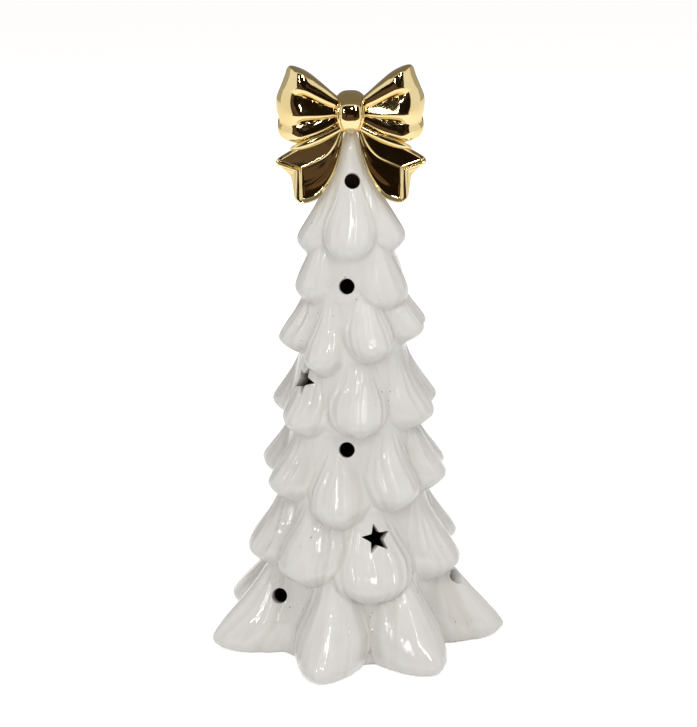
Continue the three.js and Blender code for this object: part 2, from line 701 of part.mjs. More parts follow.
function lightHousing() {
  const shell = turned([
    [0, flangeBottom], [flangeRadius, flangeBottom], [flangeRadius, flangeTop],
    [housingRadius, flangeTop], [housingRadius, housingTop], [housingBore, housingTop],
    [housingBore, floorTop], [0, floorTop],
  ], roundSides);
  const wallTop = cellAxis + cellRadius * 0.6;
  const outer = trayHalf + trayWall;
  const tray = [
    block(-outer, outer, trayFront - trayWall, trayFront, floorTop - sink, wallTop),
    block(-outer, outer, trayBack, trayBack + trayWall, floorTop - sink, wallTop),
    block(-outer, -trayHalf, trayFront - trayWall, trayBack + trayWall, floorTop - sink, wallTop),
    block(trayHalf, outer, trayFront - trayWall, trayBack + trayWall, floorTop - sink, wallTop),
  ];
  const bore = disc(housingRadius - 0.1, flangeTop, housingTop, roundSides);
  const stands = [
    ...bosses.map((b) => disc(bossRadius, floorTop - sink, housingTop, 14, b.x, b.y)),
    disc(bossRadius, floorTop - sink, floorTop + doorBossHeight, 14, doorScrewX, cellRow),
    ...[-1, 1].flatMap((side) => [
      disc(postRadius, floorTop - sink, boardBottom, 14, side * postPlace[0], postPlace[1]),
      disc(postPinRadius, floorTop - sink, boardTop + postPinProud, 10, side * postPlace[0], postPlace[1]),
    ]),
  ].map((stand) => stand.intersect(bore));
  const slotHalf = stemSide / 2 + slideGap;
  const thumbHalf = (thumbLength + switchTravel) / 2 + slideGap;
  const thumbSide = thumbWidth / 2 + slideGap;
  const armTop = wallTop - contactArmDrop;
  return cut(joined([shell, ...tray, ...stands]), [
    block(-trayHalf, trayHalf, trayFront, trayBack, flangeBottom - 1, wallTop + 1),
    prism(doorOutline(fitGap), flangeBottom - 1, doorTop + fitGap),
    ...tongues(fitGap),
    disc(screwRadius + doorScrewGap, flangeBottom, doorTop + doorScrewLength, 12, doorScrewX, cellRow),
    block(-thumbHalf, thumbHalf, switchPlace - thumbSide, switchPlace + thumbSide,
      flangeBottom - 1, flangeBottom + thumbRecess),
    block(-slotHalf - switchTravel / 2, slotHalf + switchTravel / 2, switchPlace - slotHalf,
      switchPlace + slotHalf, flangeBottom, floorTop + 1),
    ...bosses.map((b) => disc(screwRadius + screwGap, housingTop - screwLength, housingTop + 1, 12, b.x, b.y)),
    ...[-1, 1].map((side) => block(side * trayHalf - 1, side * trayHalf + 1,
      trayFront - trayWall - 1, trayFront + 1, armTop, wallTop + 1)),
  ]);
}

function siliconeCollar() {
  const inner = housingRadius + 0.05;
  return turned([
    [inner, flangeTop], [flangeRadius, flangeTop], [flangeRadius, footRecessDepth],
    [inner + sleeveWall, footRecessDepth], [inner + sleeveWall - 0.3, footRecessDepth + collarSleeve],
    [inner, footRecessDepth + collarSleeve], [inner, flangeTop],
  ], roundSides);
}

function housingCover() {
  const lipOuter = housingBore - fitGap;
  const body = joined([
    disc(housingRadius, housingTop, coverTop, roundSides),
    ring(lipOuter, lipOuter - trayWall, housingTop - coverLip, housingTop + 0.2, roundSides),
    ring(ledRadius + fitGap + collarWall, ledRadius - 1, coverTop - 0.2, coverTop + collarHeight, 20)
      .translate(0, ledPlace, 0),
  ]);
  return cut(body, [
    disc(ledRadius + fitGap, housingTop - 1, coverTop + collarHeight + 1, 20, 0, ledPlace),
    ...bosses.map((b) => disc(screwRadius + screwGap, housingTop - 3, coverTop + 1, 12, b.x, b.y)),
    ...bosses.map((b) => disc(bossRadius + fitGap, housingTop - 3, housingTop, 14, b.x, b.y)),
  ]);
}

function circuitBoard() {
  const radius = housingBore - fitGap;
  const half = block(-radius - 1, radius + 1, -radius - 1, boardEdge, boardBottom, boardTop);
  const plate = disc(radius, boardBottom, boardTop, roundSides).intersect(half);
  const clear = (radiusOf, x, y) => disc(radiusOf, boardBottom - 1, boardTop + 1, 10, x, y);
  return cut(plate, [
    ...bosses.map((b) => clear(bossRadius + fitGap, b.x, b.y)),
    ...[-1, 1].map((side) => clear(postPinRadius + fitGap, side * postPlace[0], postPlace[1])),
    ...[-1, 1].map((side) => clear(ledLeadSide * 0.5 + fitGap, (side * ledLeadSpacing) / 2, ledPlace)),
  ]);
}

function ledLens() {
  const top = ledBase + ledHeight;
  const dome = [22, 45, 68].map((angle) => [
    ledRadius * Math.cos(angle * degrees), top - ledRadius + ledRadius * Math.sin(angle * degrees),
  ]);
  return turned([
    [0, ledBase], [ledFlangeRadius, ledBase], [ledFlangeRadius, ledBase + ledFlange],
    [ledRadius, ledBase + ledFlange], [ledRadius, top - ledRadius], ...dome, [0, top],
  ], 16).translate(0, ledPlace, 0);
}

function ledLead(side) {
  const x = (side * ledLeadSpacing) / 2;
  const half = ledLeadSide / 2;
  return block(x - half, x + half, ledPlace - half, ledPlace + half, boardBottom - ledLeadEnd, ledBase);
}

// The controller chip under its drop of resin
function chipDrop(x, y) {
  const profile = [[0, boardTop]];
  for (let k = 0; k < 3; k++) {
    const angle = k * 28 * degrees;
    profile.push([chipRadius * Math.cos(angle), boardTop + chipHeight * Math.sin(angle)]);
  }
  profile.push([0, boardTop + chipHeight]);
  return turned(profile, 16).translate(x, y, 0);
}

// A chip resistor with a tinned cap at each end
function resistor(x, y) {
  const [length, width, height] = resistorSize;
  const cap = 0.6;
  const lower = 0.05;
  const end = (side) => {
    const middle = x + (side * (length - cap)) / 2;
    return block(middle - cap / 2, middle + cap / 2, y - width / 2, y + width / 2, boardTop, boardTop + height);
  };
  const half = (length - cap) / 2;
  const side = width / 2 - lower;
  const middle = block(x - half, x + half, y - side, y + side, boardTop, boardTop + height - lower);
  return joined([middle, end(-1), end(1)]);
}

function switchBody() {
  const low = boardBottom - switchHeight;
  const cavity = (stemSide + switchTravel) / 2 + slideGap;
  const body = block(-switchLength / 2, switchLength / 2, switchPlace - switchWidth / 2,
    switchPlace + switchWidth / 2, low, boardBottom);
  const side = stemSide / 2 + slideGap;
  const top = boardBottom - switchRoof;
  return cut(body, [block(-cavity, cavity, switchPlace - side, switchPlace + side, low - 1, top)]);
}

// The switch's thumb piece and stem, at the off end of its travel
function switchKnob() {
  const x = -switchTravel / 2;
  const low = flangeBottom - thumbProud;
  const high = flangeBottom + thumbRecess - fitGap;
  const halfX = thumbLength / 2;
  const halfY = thumbWidth / 2;
  const grooves = [-1, 0, 1].map((step) => {
    const left = x + step * groovePitch - grooveWidth / 2;
    return block(left, left + grooveWidth, switchPlace - halfY - 1, switchPlace + halfY + 1, low - 1,
      low + grooveDepth);
  });
  const cap = cut(block(x - halfX, x + halfX, switchPlace - halfY, switchPlace + halfY, low, high), grooves);
  const half = stemSide / 2;
  const stemTop = boardBottom - switchRoof - slideGap;
  const stem = block(x - half, x + half, switchPlace - half, switchPlace + half, high - 0.2, stemTop);
  return joined([cap, stem]);
}

// One cell, lying along X with its narrow, negative face towards the coil
function cell(index) {
  const low = -trayHalf + fitGap + contactThickness + springLength + index * cellThickness;
  const profile = [
    [0, 0], [cellCapRadius, 0], [cellRadius, cellCapHeight], [cellRadius, cellThickness - 0.2],
    [cellRadius - 0.2, cellThickness], [0, cellThickness],
  ];
  const points = profile.map(([radius, along]) => new THREE.Vector2(radius, along));
  const geometry = new THREE.LatheGeometry(points, 24).rotateZ(-Math.PI / 2);
  return toSolid(geometry.translate(low, cellRow, cellAxis));
}

// A contact plate at one end of the cells, with an arm past the tray wall and a leg to the board
function contactPlate(side) {
  const end = side * (trayHalf - fitGap);
  const x = Math.min(end, end - side * contactThickness);
  const centre = cellRow;
  const half = cellRadius * 0.6;
  const low = cellAxis - half;
  const high = cellAxis + half;
  const armEnd = boardEdge - contactWidth - legInset;
  const plate = block(x, x + contactThickness, centre - half, centre + half, low, high);
  const arm = block(x, x + contactThickness, armEnd, centre, high - contactWidth, high);
  const leg = block(x, x + contactThickness, armEnd, armEnd + contactWidth, boardTop, high);
  return joined([plate, arm, leg]);
}

// The coil that presses the cells together, a cone of wire with its small end on the first cell
function contactCoil() {
  const steps = springTurns * 9;
  const start = -trayHalf + fitGap + contactThickness + springWire;
  const end = start + springLength - 2 * springWire;
  const points = [];
  for (let i = 0; i <= steps; i++) {
    const share = i / steps;
    const angle = 2 * Math.PI * springTurns * share;
    const radius = lerp(...springRadii, share);
    const [across, up] = [radius * Math.cos(angle), radius * Math.sin(angle)];
    points.push(v3(lerp(start, end, share), cellRow + across, cellAxis + up));
  }
  return wire(points, springWire, 5);
}

// A pan-head screw pointing up or down, with a cross in its head
function screw(x, y, headFace, direction, length, radius = screwRadius) {
  const crossDepth = screwHeadHeight * 0.5;
  const body = turned([
    [0, 0], [screwHeadRadius * 0.86, 0], [screwHeadRadius, screwHeadHeight * 0.4],
    [screwHeadRadius, screwHeadHeight], [radius, screwHeadHeight], [radius, length - radius],
    [radius * 0.3, length], [0, length],
  ], 12);
  const arm = screwHeadRadius * 0.6;
  const crossed = cut(body, [
    block(-arm, arm, -0.25, 0.25, -1, crossDepth),
    block(-0.25, 0.25, -arm, arm, -1, crossDepth),
  ]);
  const turnedOver = direction < 0 ? crossed.rotate([180, 0, 0]) : crossed;
  return turnedOver.translate(x, y, headFace);
}

function batteryDoor() {
  const plate = joined([prism(doorOutline(0), flangeBottom, doorTop), ...tongues(0)]);
  const headTop = flangeBottom + screwHeadHeight + doorScrewSink;
  return cut(plate, [
    disc(screwHeadRadius + fitGap, flangeBottom - 1, headTop, 16, doorScrewX, cellRow),
    disc(screwRadius + screwGap, flangeBottom, doorTop + 1, 12, doorScrewX, cellRow),
  ]);
}

// Materials
function material(color, roughness, metalness = 0) {
  return new THREE.MeshStandardMaterial({ color, roughness, metalness });
}
const ceramic = material(0xf4f2ef, 0.12);
const gilding = material(0xd9b86a, 0.08, 1);
const whitePlastic = material(0xe9e9e6, 0.45);
const silicone = material(0xd6d6d2, 0.6);
const boardGreen = material(0x2c6a43, 0.5);
const lensClear = material(0xf3f1e2, 0.08);
const tinned = material(0xc8c8c8, 0.3, 1);
const resin = material(0x17181a, 0.35);
const nickel = material(0xbdbfc2, 0.28, 1);
const blackPlastic = material(0x232427, 0.5);

// The frame's origin is the middle of the footprint, so the tree's axis stands beside it.
const part = new THREE.Group();
const footprint = treeSkin(boughs).boundingBox();
part.position.x = -(footprint.min[0] + footprint.max[0]) / 2;
part.position.y = -(footprint.min[1] + footprint.max[1]) / 2;
console.log(`tree axis at ${part.position.x.toFixed(4)}, ${part.position.y.toFixed(4)}`);
const cubic = 1e3;

function add(name, solid, look) {
  const mesh = new THREE.Mesh(toGeometry(solid), look);
  mesh.name = name;
  part.add(mesh);
  console.log(`${name}: ${solid.numTri()} facets, ${(solid.volume() / cubic).toFixed(3)} cm3`);
}

add("tree_body", treeBody(), ceramic);
add("bow", bow(), gilding);
add("light_housing", lightHousing(), whitePlastic);
add("silicone_collar", siliconeCollar(), silicone);
add("housing_cover", housingCover(), whitePlastic);
add("circuit_board", circuitBoard(), boardGreen);
add("led_lens", ledLens(), lensClear);
add("led_lead_positive", ledLead(-1), tinned);
add("led_lead_negative", ledLead(1), tinned);
add("resistor", resistor(...resistorPlace), resin);
add("controller_chip", chipDrop(...chipPlace), resin);
add("switch_body", switchBody(), blackPlastic);
add("switch_knob", switchKnob(), blackPlastic);
for (let i = 0; i < cellCount; i++) add(`cell_${i + 1}`, cell(i), nickel);
add("contact_coil", contactCoil(), nickel);
add("coil_contact", contactPlate(-1), nickel);
add("plate_contact", contactPlate(1), nickel);
bosses.forEach((b, i) => {
  add(`cover_screw_${i + 1}`, screw(b.x, b.y, coverTop + screwHeadHeight, -1, screwLength), nickel);
});
add("battery_door", batteryDoor(), whitePlastic);
add("door_screw", screw(doorScrewX, cellRow, flangeBottom + doorScrewSink, 1, doorScrewLength), nickel);

export default part;
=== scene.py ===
import math

import bmesh
import bpy
import numpy as np
from bpy.props import FloatProperty, FloatVectorProperty, IntProperty, PointerProperty
from mathutils import Matrix, Vector


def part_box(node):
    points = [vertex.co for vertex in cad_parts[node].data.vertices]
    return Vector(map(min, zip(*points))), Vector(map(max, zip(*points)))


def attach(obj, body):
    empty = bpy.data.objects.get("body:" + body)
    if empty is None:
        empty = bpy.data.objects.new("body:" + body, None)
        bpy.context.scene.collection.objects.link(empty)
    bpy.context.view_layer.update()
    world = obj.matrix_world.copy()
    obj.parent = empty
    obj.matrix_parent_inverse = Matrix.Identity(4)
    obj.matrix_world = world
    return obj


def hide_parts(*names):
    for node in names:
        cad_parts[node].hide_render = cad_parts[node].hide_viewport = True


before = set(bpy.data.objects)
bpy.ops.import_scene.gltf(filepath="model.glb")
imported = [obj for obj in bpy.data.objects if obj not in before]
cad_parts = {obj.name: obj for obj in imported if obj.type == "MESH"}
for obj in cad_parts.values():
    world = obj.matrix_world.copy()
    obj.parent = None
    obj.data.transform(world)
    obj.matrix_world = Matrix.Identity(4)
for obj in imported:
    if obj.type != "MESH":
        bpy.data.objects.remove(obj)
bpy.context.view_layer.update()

bl_info = {
    "name": "Glazed tree with a gilded bow",
    "version": (1, 0, 0),
    "blender": (4, 5, 0),
    "location": "3D View > Sidebar > Tree",
    "description": "Builds a lit ceramic Christmas tree, its bow and its battery light",
    "category": "Object",
}

MM = 0.001


def middle_of(low, high):
    """The middle of a box, as three numbers."""
    return [(a + b) / 2 for a, b in zip(low, high)]


# The tree's upright axis runs through the middle of its battery light
AXIS = np.array([*middle_of(*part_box("light_housing"))[:2], 0.0])

# The tip's height and the foot's radius without the boughs, in mm, the same as in the solids, and
# where the straight taper of the trunk ends
TIP = 246.0
FOOT_RADIUS = 41.0
SHOULDER = TIP * 0.76
SHOULDER_RADIUS = FOOT_RADIUS * 0.439

# Tiers of drooping boughs from the top down, with heights as shares of TIP and breadths as shares
# of FOOT_RADIUS: low point, how much higher the side boughs start, outermost radius, height, half
# breadth, height of the outermost point over the low point, hollowness of the upper side, how much
# of its swell runs all round as a skirt, and how round its back is across.
# Then each bough's azimuth in degrees, how far it hangs lower, and its breadth's factor.
TIERS = [
    (0.75, 0.001, 0.617, 0.191, 0.415, 0.037, 2.2, 0.2, 2,
     [(-5, 0.002, 1.1), (69, -0.003, 0.95), (141, 0.002, 0.9), (-147, -0.002, 0.95), (-75, 0.002, 0.9)]),
    (0.663, 0, 0.707, 0.171, 0.378, 0.037, 2.2, 0.25, 2,
     [(-58, 0, 1), (50, 0.012, 1.3), (138, -0.003, 1.15), (-140, -0.002, 1.15)]),
    (0.545, 0.009, 0.866, 0.171, 0.354, 0.037, 2.3, 0.25, 2,
     [(-31, 0.009, 0.92), (18, -0.008, 1.15), (64, -0.022, 1), (109, -0.025, 1), (154, 0.004, 1.05),
      (-164, -0.002, 1), (-131, 0.004, 1.05), (-70, -0.014, 1)]),
    (0.423, -0.004, 0.988, 0.187, 0.439, 0.041, 2.3, 0.25, 2,
     [(4, -0.001, 1.08), (62, -0.006, 1.15), (108, -0.012, 1), (156, 0.004, 1), (-156, -0.002, 1),
      (-115, 0, 1.05), (-48, 0, 1)]),
    (0.264, 0.016, 1.098, 0.191, 0.415, 0.045, 2.3, 0.25, 2,
     [(-13, 0.01, 1.12), (33, 0, 1.1), (70, 0, 1.05), (110, -0.004, 1), (150, 0.004, 1),
      (-170, -0.003, 1), (-140, 0, 1.05), (-108, 0, 1), (-58, -0.008, 1)]),
    (0.1, 0.018, 1.268, 0.22, 0.488, 0.049, 2.2, 0.25, 2,
     [(12, -0.012, 1.42), (68, 0, 1.15), (113, 0, 1), (148, -0.004, 1), (-179, 0.004, 1.04),
      (-150, -0.003, 1), (-110, 0, 1), (-72, -0.014, 1.05), (-33, -0.02, 1.25)]),
    (-0.037, 0, 1.73, 0.26, 0.732, 0.061, 1.7, 0.12, 1.5,
     [(-15, 0, 1), (32, 0, 1), (83, 0, 1), (135, 0, 1), (-174, 0, 1), (-123, 0, 1), (-71, 0, 1)]),
]
# How softly a bough turns over at its outermost point, how broad its upper end is against its
# widest place, and how far up the bough that place lies, as shares
TIP_ROUNDING = 0.12
WAIST = 0.24
WIDEST = 0.4

# The cast wall, and the foot: its rounded edge, the plate with the light's opening, the recess under
# it as radius and height, and the least radius of the hollow at the top
WALL = 3.8
FOOT_ROUNDING = 1.4
PLATE_RADIUS = 26.0
PLATE_TOP = 9.5
RECESS = (27.0, 5.5)
OPENING_RADIUS = 20.8
LEAST_HOLLOW = 0.8

# Light holes as azimuth, share of TIP and the way that the cutter points, and stars with their turn
HOLES = [(3, 0.894, 3), (-7, 0.709, -7), (146, 0.709, 146), (-6.5, 0.407, -6.5), (172, 0.411, 172),
         (-55, 0.111, -10), (79, 0.122, 64)]
STARS = [(15, 0.244, 15, 6), (-52, 0.528, -38, -20), (134, 0.528, 134, 10), (-168, 0.248, -168, -8)]
# How steeply the cutters point up, how far in they reach, and how far off the skin is looked for
CUTTER_RISE = math.radians(16)
CUTTER_REACH = 22.0
CUTTER_SEARCH = 14


class TreeSizes(bpy.types.PropertyGroup):
    columns: IntProperty(name="Columns", description="Mesh columns round the tree", default=304, min=48)
    rows: IntProperty(name="Rows", description="Mesh rows up the tree", default=272, min=40)
    crease: FloatProperty(
        name="Crease", description="How softly the glaze fills the creases", default=0.0006, unit="LENGTH")
    flute: FloatProperty(
        name="Flute", description="Depth of the combed grooves down the boughs", default=0.0020, unit="LENGTH")
    hole: FloatProperty(
        name="Light hole", description="Radius of the round holes", default=0.0035, unit="LENGTH")
    star: FloatProperty(name="Star", description="Radius to a star's points", default=0.0070, unit="LENGTH")
    lip: FloatProperty(name="Lip", description="Rounding of the holes' edges", default=0.0009, unit="LENGTH")
    glaze: FloatVectorProperty(
        name="Glaze", description="Colour of the white glaze", default=(0.80, 0.79, 0.765), subtype="COLOR")
    clay: FloatVectorProperty(
        name="Clay", description="Colour of the bare clay", default=(0.62, 0.55, 0.48), subtype="COLOR")


class BowSizes(bpy.types.PropertyGroup):
    knot: FloatProperty(name="Knot", description="Height of the knot's middle", default=0.249, unit="LENGTH")
    gold: FloatVectorProperty(
        name="Gold", description="Colour of the fired gold", default=(0.79, 0.655, 0.355), subtype="COLOR")


class StageSizes(bpy.types.PropertyGroup):
    distance: FloatProperty(
        name="Distance", description="Camera's distance in front of the tree's axis", default=0.953,
        unit="LENGTH")
    height: FloatProperty(name="Height", description="Camera's height", default=0.4144, unit="LENGTH")
    pitch: FloatProperty(
        name="Pitch", description="How far the camera looks down", default=math.radians(16.5), subtype="ANGLE")
    lamps: FloatProperty(name="Lamps", description="Level of all lamps", default=1.0, min=0.0)
    sky: FloatProperty(name="Sky", description="Level of the soft light from all round", default=0.4, min=0.0)


# Meshes

def link_mesh(name, mesh):
    piece = bpy.data.objects.new(name, mesh)
    bpy.context.scene.collection.objects.link(piece)
    return piece


def add_mesh(name, points, faces):
    mesh = bpy.data.meshes.new(name)
    mesh.from_pydata([tuple(p) for p in points], [], faces)
    mesh.validate()
    mesh.update()
    return link_mesh(name, mesh)


def drop(piece):
    mesh = piece.data
    bpy.data.objects.remove(piece)
    bpy.data.meshes.remove(mesh)


def skin(rings, close=True):
    """Points and faces over rings of points that run anticlockwise seen from the far end."""
    rings = np.asarray(rings)
    count, around = rings.shape[:2]
    points = rings.reshape(-1, 3)
    rows = np.arange(count - 1)[:, None] * around
    here = np.arange(around)[None, :]
    following = (here + 1) % around
    quads = np.stack([rows + here, rows + following, rows + around + following, rows + around + here], -1)
    faces = quads.reshape(-1, 4).tolist()
    if close:
        first = len(points)
        points = np.vstack([points, rings[0].mean(0), rings[-1].mean(0)])
        last_row = (count - 1) * around
        for j in range(around):
            k = (j + 1) % around
            faces.append([first, k, j])
            faces.append([first + 1, last_row + j, last_row + k])
    return points, faces


def replace_mesh(piece):
    """Turns a piece and its modifiers into a plain mesh."""
    graph = bpy.context.evaluated_depsgraph_get()
    mesh = bpy.data.meshes.new_from_object(piece.evaluated_get(graph))
    piece.modifiers.clear()
    old = piece.data
    piece.data = mesh
    bpy.data.meshes.remove(old)
    return piece


def combine(piece, other, operation):
    modifier = piece.modifiers.new("Combine", "BOOLEAN")
    modifier.operation = operation
    modifier.solver = "MANIFOLD"
    modifier.object = other
    replace_mesh(piece)
    drop(other)
    if not piece.data.polygons:
        raise RuntimeError(f"{piece.name} was cut away")
    return piece


def smooth(piece, degrees=40):
    piece.data.shade_smooth()
    piece.data.set_sharp_from_angle(angle=math.radians(degrees))
    return piece


def float_attribute(mesh, name, values):
    attribute = mesh.attributes.new(name, "FLOAT", "POINT")
    attribute.data.foreach_set("value", np.asarray(values, np.float32))


def mesh_points(mesh):
    flat = np.zeros(len(mesh.vertices) * 3, np.float32)
    mesh.vertices.foreach_get("co", flat)
    return flat.reshape(-1, 3).astype(float)


class Rule:
    """A Geometry Nodes tree with named inputs, for pieces that repeat or follow a path."""

    KINDS = {int: "Int", float: "Float", Vector: "Vector", bpy.types.Object: "Object",
             bpy.types.Material: "Material"}

    def __init__(self, name, **values):
        self.name = name
        self.tree = bpy.data.node_groups.new(name, "GeometryNodeTree")
        self.tree.interface.new_socket("Geometry", in_out="OUTPUT", socket_type="NodeSocketGeometry")
        self.values = {}
        for label, value in values.items():
            kind = "NodeSocket" + self.KINDS[type(value)]
            socket = self.tree.interface.new_socket(label.replace("_", " "), in_out="INPUT", socket_type=kind)
            self.values[socket.identifier] = value
        self.given = self.tree.nodes.new("NodeGroupInput").outputs

    def add(self, kind, settings=None, **inputs):
        node = self.tree.nodes.new(kind)
        for key, value in (settings or {}).items():
            setattr(node, key, value)
        for key, value in inputs.items():
            self.feed(value, node.inputs[key.replace("_", " ")])
        return node

    def feed(self, value, socket):
        if isinstance(value, bpy.types.NodeSocket):
            self.tree.links.new(value, socket)
        else:
            socket.default_value = value

    def work_out(self, operation, a, b):
        node = self.add("ShaderNodeMath", {"operation": operation})
        self.feed(a, node.inputs[0])
        self.feed(b, node.inputs[1])
        return node.outputs[0]

    def piece(self, geometry):
        """The tree's result as a plain mesh in the material that is its last input."""
        even = self.add("GeometryNodeSetShadeSmooth", Geometry=geometry)
        whole = self.add("GeometryNodeRealizeInstances", Geometry=even.outputs[0])
        dressed = self.add("GeometryNodeSetMaterial", Geometry=whole.outputs[0], Material=self.given["Finish"])
        end = self.tree.nodes.new("NodeGroupOutput")
        self.tree.links.new(dressed.outputs[0], end.inputs[0])
        made = add_mesh(self.name, [], [])
        modifier = made.modifiers.new(self.name, "NODES")
        modifier.node_group = self.tree
        for identifier, value in self.values.items():
            modifier[identifier] = value
        replace_mesh(made)
        if not made.data.polygons:
            raise RuntimeError(f"{self.name} came out empty")
        return made


# Materials

class Shading:
    """The nodes of a material or of the world, with a few short ways to add to them."""

    def __init__(self, owner):
        owner.use_nodes = True
        self.nodes = owner.node_tree.nodes
        self.links = owner.node_tree.links

    def add(self, kind, **values):
        node = self.nodes.new(kind)
        for key, value in values.items():
            setattr(node, key, value)
        return node

    def join(self, source, target):
        self.links.new(source, target)

    def ramp(self, value, low, high, start=0.0, end=1.0):
        node = self.add("ShaderNodeMapRange", interpolation_type="SMOOTHSTEP")
        for name, number in (("From Min", low), ("From Max", high), ("To Min", start), ("To Max", end)):
            node.inputs[name].default_value = number
        self.join(value, node.inputs["Value"])
        return node.outputs["Result"]

    def sum(self, a, b, kind="ADD"):
        node = self.add("ShaderNodeMath", operation=kind)
        for value, target in ((a, node.inputs[0]), (b, node.inputs[1])):
            if isinstance(value, (int, float)):
                target.default_value = value
            else:
                self.join(value, target)
        return node.outputs[0]

    def mix(self, share, a, b, kind="MIX"):
        node = self.add("ShaderNodeMix", data_type="RGBA", blend_type=kind)
        self.join(share, node.inputs["Factor"])
        for value, target in ((a, node.inputs["A"]), (b, node.inputs["B"])):
            target = [s for s in node.inputs if s.name == target.name and s.type == "RGBA"][0]
            if isinstance(value, (tuple, list)):
                target.default_value = (*value[:3], 1.0)
            else:
                self.join(value, target)
        return [s for s in node.outputs if s.type == "RGBA"][0]


class Finish(Shading):
    """A material made from the principled shader, with patterns in the object's own coordinates."""

    def __init__(self, name):
        self.material = bpy.data.materials.new(name)
        super().__init__(self.material)
        self.shader = self.nodes["Principled BSDF"]
        self.place = self.add("ShaderNodeTexCoord").outputs["Object"]

    def set(self, **values):
        for key, value in values.items():
            self.shader.inputs[key.replace("_", " ")].default_value = value

    def noise(self, scale, detail=2.0, stretch=(1, 1, 1), source=None, rough=0.5):
        mapping = self.add("ShaderNodeMapping")
        mapping.inputs["Scale"].default_value = stretch
        self.join(source or self.place, mapping.inputs["Vector"])
        noise = self.add("ShaderNodeTexNoise")
        noise.inputs["Scale"].default_value = scale
        noise.inputs["Detail"].default_value = detail
        noise.inputs["Roughness"].default_value = rough
        self.join(mapping.outputs["Vector"], noise.inputs["Vector"])
        return noise.outputs["Fac"]

    def attribute(self, name):
        return self.add("ShaderNodeAttribute", attribute_name=name).outputs["Fac"]

    def bump(self, height, strength, distance, before=None):
        node = self.add("ShaderNodeBump")
        node.inputs["Strength"].default_value = strength
        node.inputs["Distance"].default_value = distance
        self.join(height, node.inputs["Height"])
        if before:
            self.join(before, node.inputs["Normal"])
        return node.outputs["Normal"]

    def colour(self, output):
        self.join(output, self.shader.inputs["Base Color"])

    def rough(self, output):
        self.join(output, self.shader.inputs["Roughness"])

    def normal(self, output):
        self.join(output, self.shader.inputs["Normal"])


def paler(colour, share):
    return tuple(min(1.0, c * share) for c in colour[:3])


def glaze_finish(glaze, clay):
    """White glaze over pale clay: darker in the creases and combed grooves, partly where it pools and thins on
    ridges and partly as painted shade; the hollow behind the holes is painted dark as shade; and it stops at
    the foot.
    """
    f = Finish("white_glaze")
    f.set(IOR=1.5)
    cloud = f.noise(45, 3)
    pooled_glaze_and_shade = f.attribute("pooled_glaze_and_shade")
    bare = f.attribute("bare")
    tone = f.mix(f.ramp(cloud, 0.3, 0.7), glaze, paler(glaze, 0.965))
    # Darker and warmer in the combed grooves: partly glaze that pools there, partly painted shade so that the
    # grooves show under soft light
    tone = f.mix(f.ramp(f.attribute("combed"), 0.1, 0.9, 0.0, 0.6), tone, (0.70, 0.66, 0.615))
    # Darker and warmer in the creases between boughs: partly glaze that pools there, partly painted shade
    tone = f.mix(f.ramp(pooled_glaze_and_shade, 0.0, 1.0, 0.0, 0.62), tone, (0.67, 0.625, 0.57))
    specks = f.noise(900, 0)
    cluster = f.noise(60, 1)
    speck = f.sum(f.ramp(specks, 0.80, 0.84), f.ramp(cluster, 0.56, 0.62), "MULTIPLY")
    tone = f.mix(speck, tone, (0.30, 0.22, 0.15))
    grit = f.noise(1500, 3)
    clay_and_hollow_shade = f.mix(f.ramp(grit, 0.35, 0.7), clay, paler(clay, 0.86))
    # Painted shade: the hollow behind the holes is painted near black, though its clay is pale
    clay_and_hollow_shade = f.mix(f.attribute("inside"), clay_and_hollow_shade, (0.085, 0.045, 0.025))
    f.colour(f.mix(bare, tone, clay_and_hollow_shade))
    shine = f.ramp(f.noise(120, 2), 0.3, 0.75, 0.035, 0.08)
    f.rough(f.sum(shine, f.sum(bare, 0.62, "MULTIPLY"), "ADD"))
    uv = f.add("ShaderNodeUVMap", uv_map="comb").outputs["UV"]
    combed = f.noise(1.0, 2, (430, 38, 1), uv)
    ripple = f.noise(210, 1)
    normal = f.bump(combed, 0.35, 0.0006)
    normal = f.bump(ripple, 0.25, 0.0004, normal)
    normal = f.bump(f.sum(grit, bare, "MULTIPLY"), 0.5, 0.0003, normal)
    f.normal(normal)
    return f.material


def gold_finish(gold):
    """Fired gold over glaze: a mirror with faint brush marks and warmer, thinner patches."""
    f = Finish("fired_gold")
    f.set(Metallic=1.0)
    patch = f.ramp(f.noise(60, 3), 0.35, 0.7)
    f.colour(f.mix(patch, gold, (gold[0], gold[1] * 0.93, gold[2] * 0.82)))
    f.rough(f.ramp(f.noise(160, 3), 0.3, 0.75, 0.05, 0.11))
    brushed = f.noise(1.0, 3, (260, 900, 700))
    normal = f.bump(f.noise(150, 1), 0.05, 0.0004)
    f.normal(f.bump(brushed, 0.012, 0.0002, normal))
    return f.material


def moulded_finish(name, colour, rough, grain=1800, **values):
    """Moulded plastic, rubber or resin with a fine grain and slight clouding."""
    f = Finish(name)
    f.set(**values)
    cloud = f.ramp(f.noise(90, 3), 0.3, 0.7)
    f.colour(f.mix(cloud, colour, paler(colour, 0.93)))
    fine = f.noise(grain, 2)
    f.rough(f.ramp(fine, 0.3, 0.7, rough * 0.88, min(1.0, rough * 1.12)))
    f.normal(f.bump(fine, 0.2, 0.0001))
    return f.material


def plated_finish(name, colour, rough, stretch=(1, 1, 1)):
    """Plated metal with drawn or turned marks."""
    f = Finish(name)
    f.set(Metallic=1.0)
    marks = f.noise(1600, 3, stretch)
    cloud = f.ramp(f.noise(220, 2), 0.35, 0.7)
    f.colour(f.mix(cloud, colour, paler(colour, 0.88)))
    f.rough(f.ramp(marks, 0.3, 0.75, rough * 0.8, rough * 1.3))
    f.normal(f.bump(marks, 0.12, 0.0001))
    return f.material


def dress(piece, *materials):
    piece.data.materials.clear()
    for material in materials:
        piece.data.materials.append(material)


# The tree's form, in mm and degrees

def trunk_radius(height):
    taper = FOOT_RADIUS + (SHOULDER_RADIUS - FOOT_RADIUS) * height / SHOULDER
    left = np.clip((TIP - height) / (TIP - SHOULDER), 0, 1)
    return np.where(height <= SHOULDER, taper, SHOULDER_RADIUS * left ** 0.85)


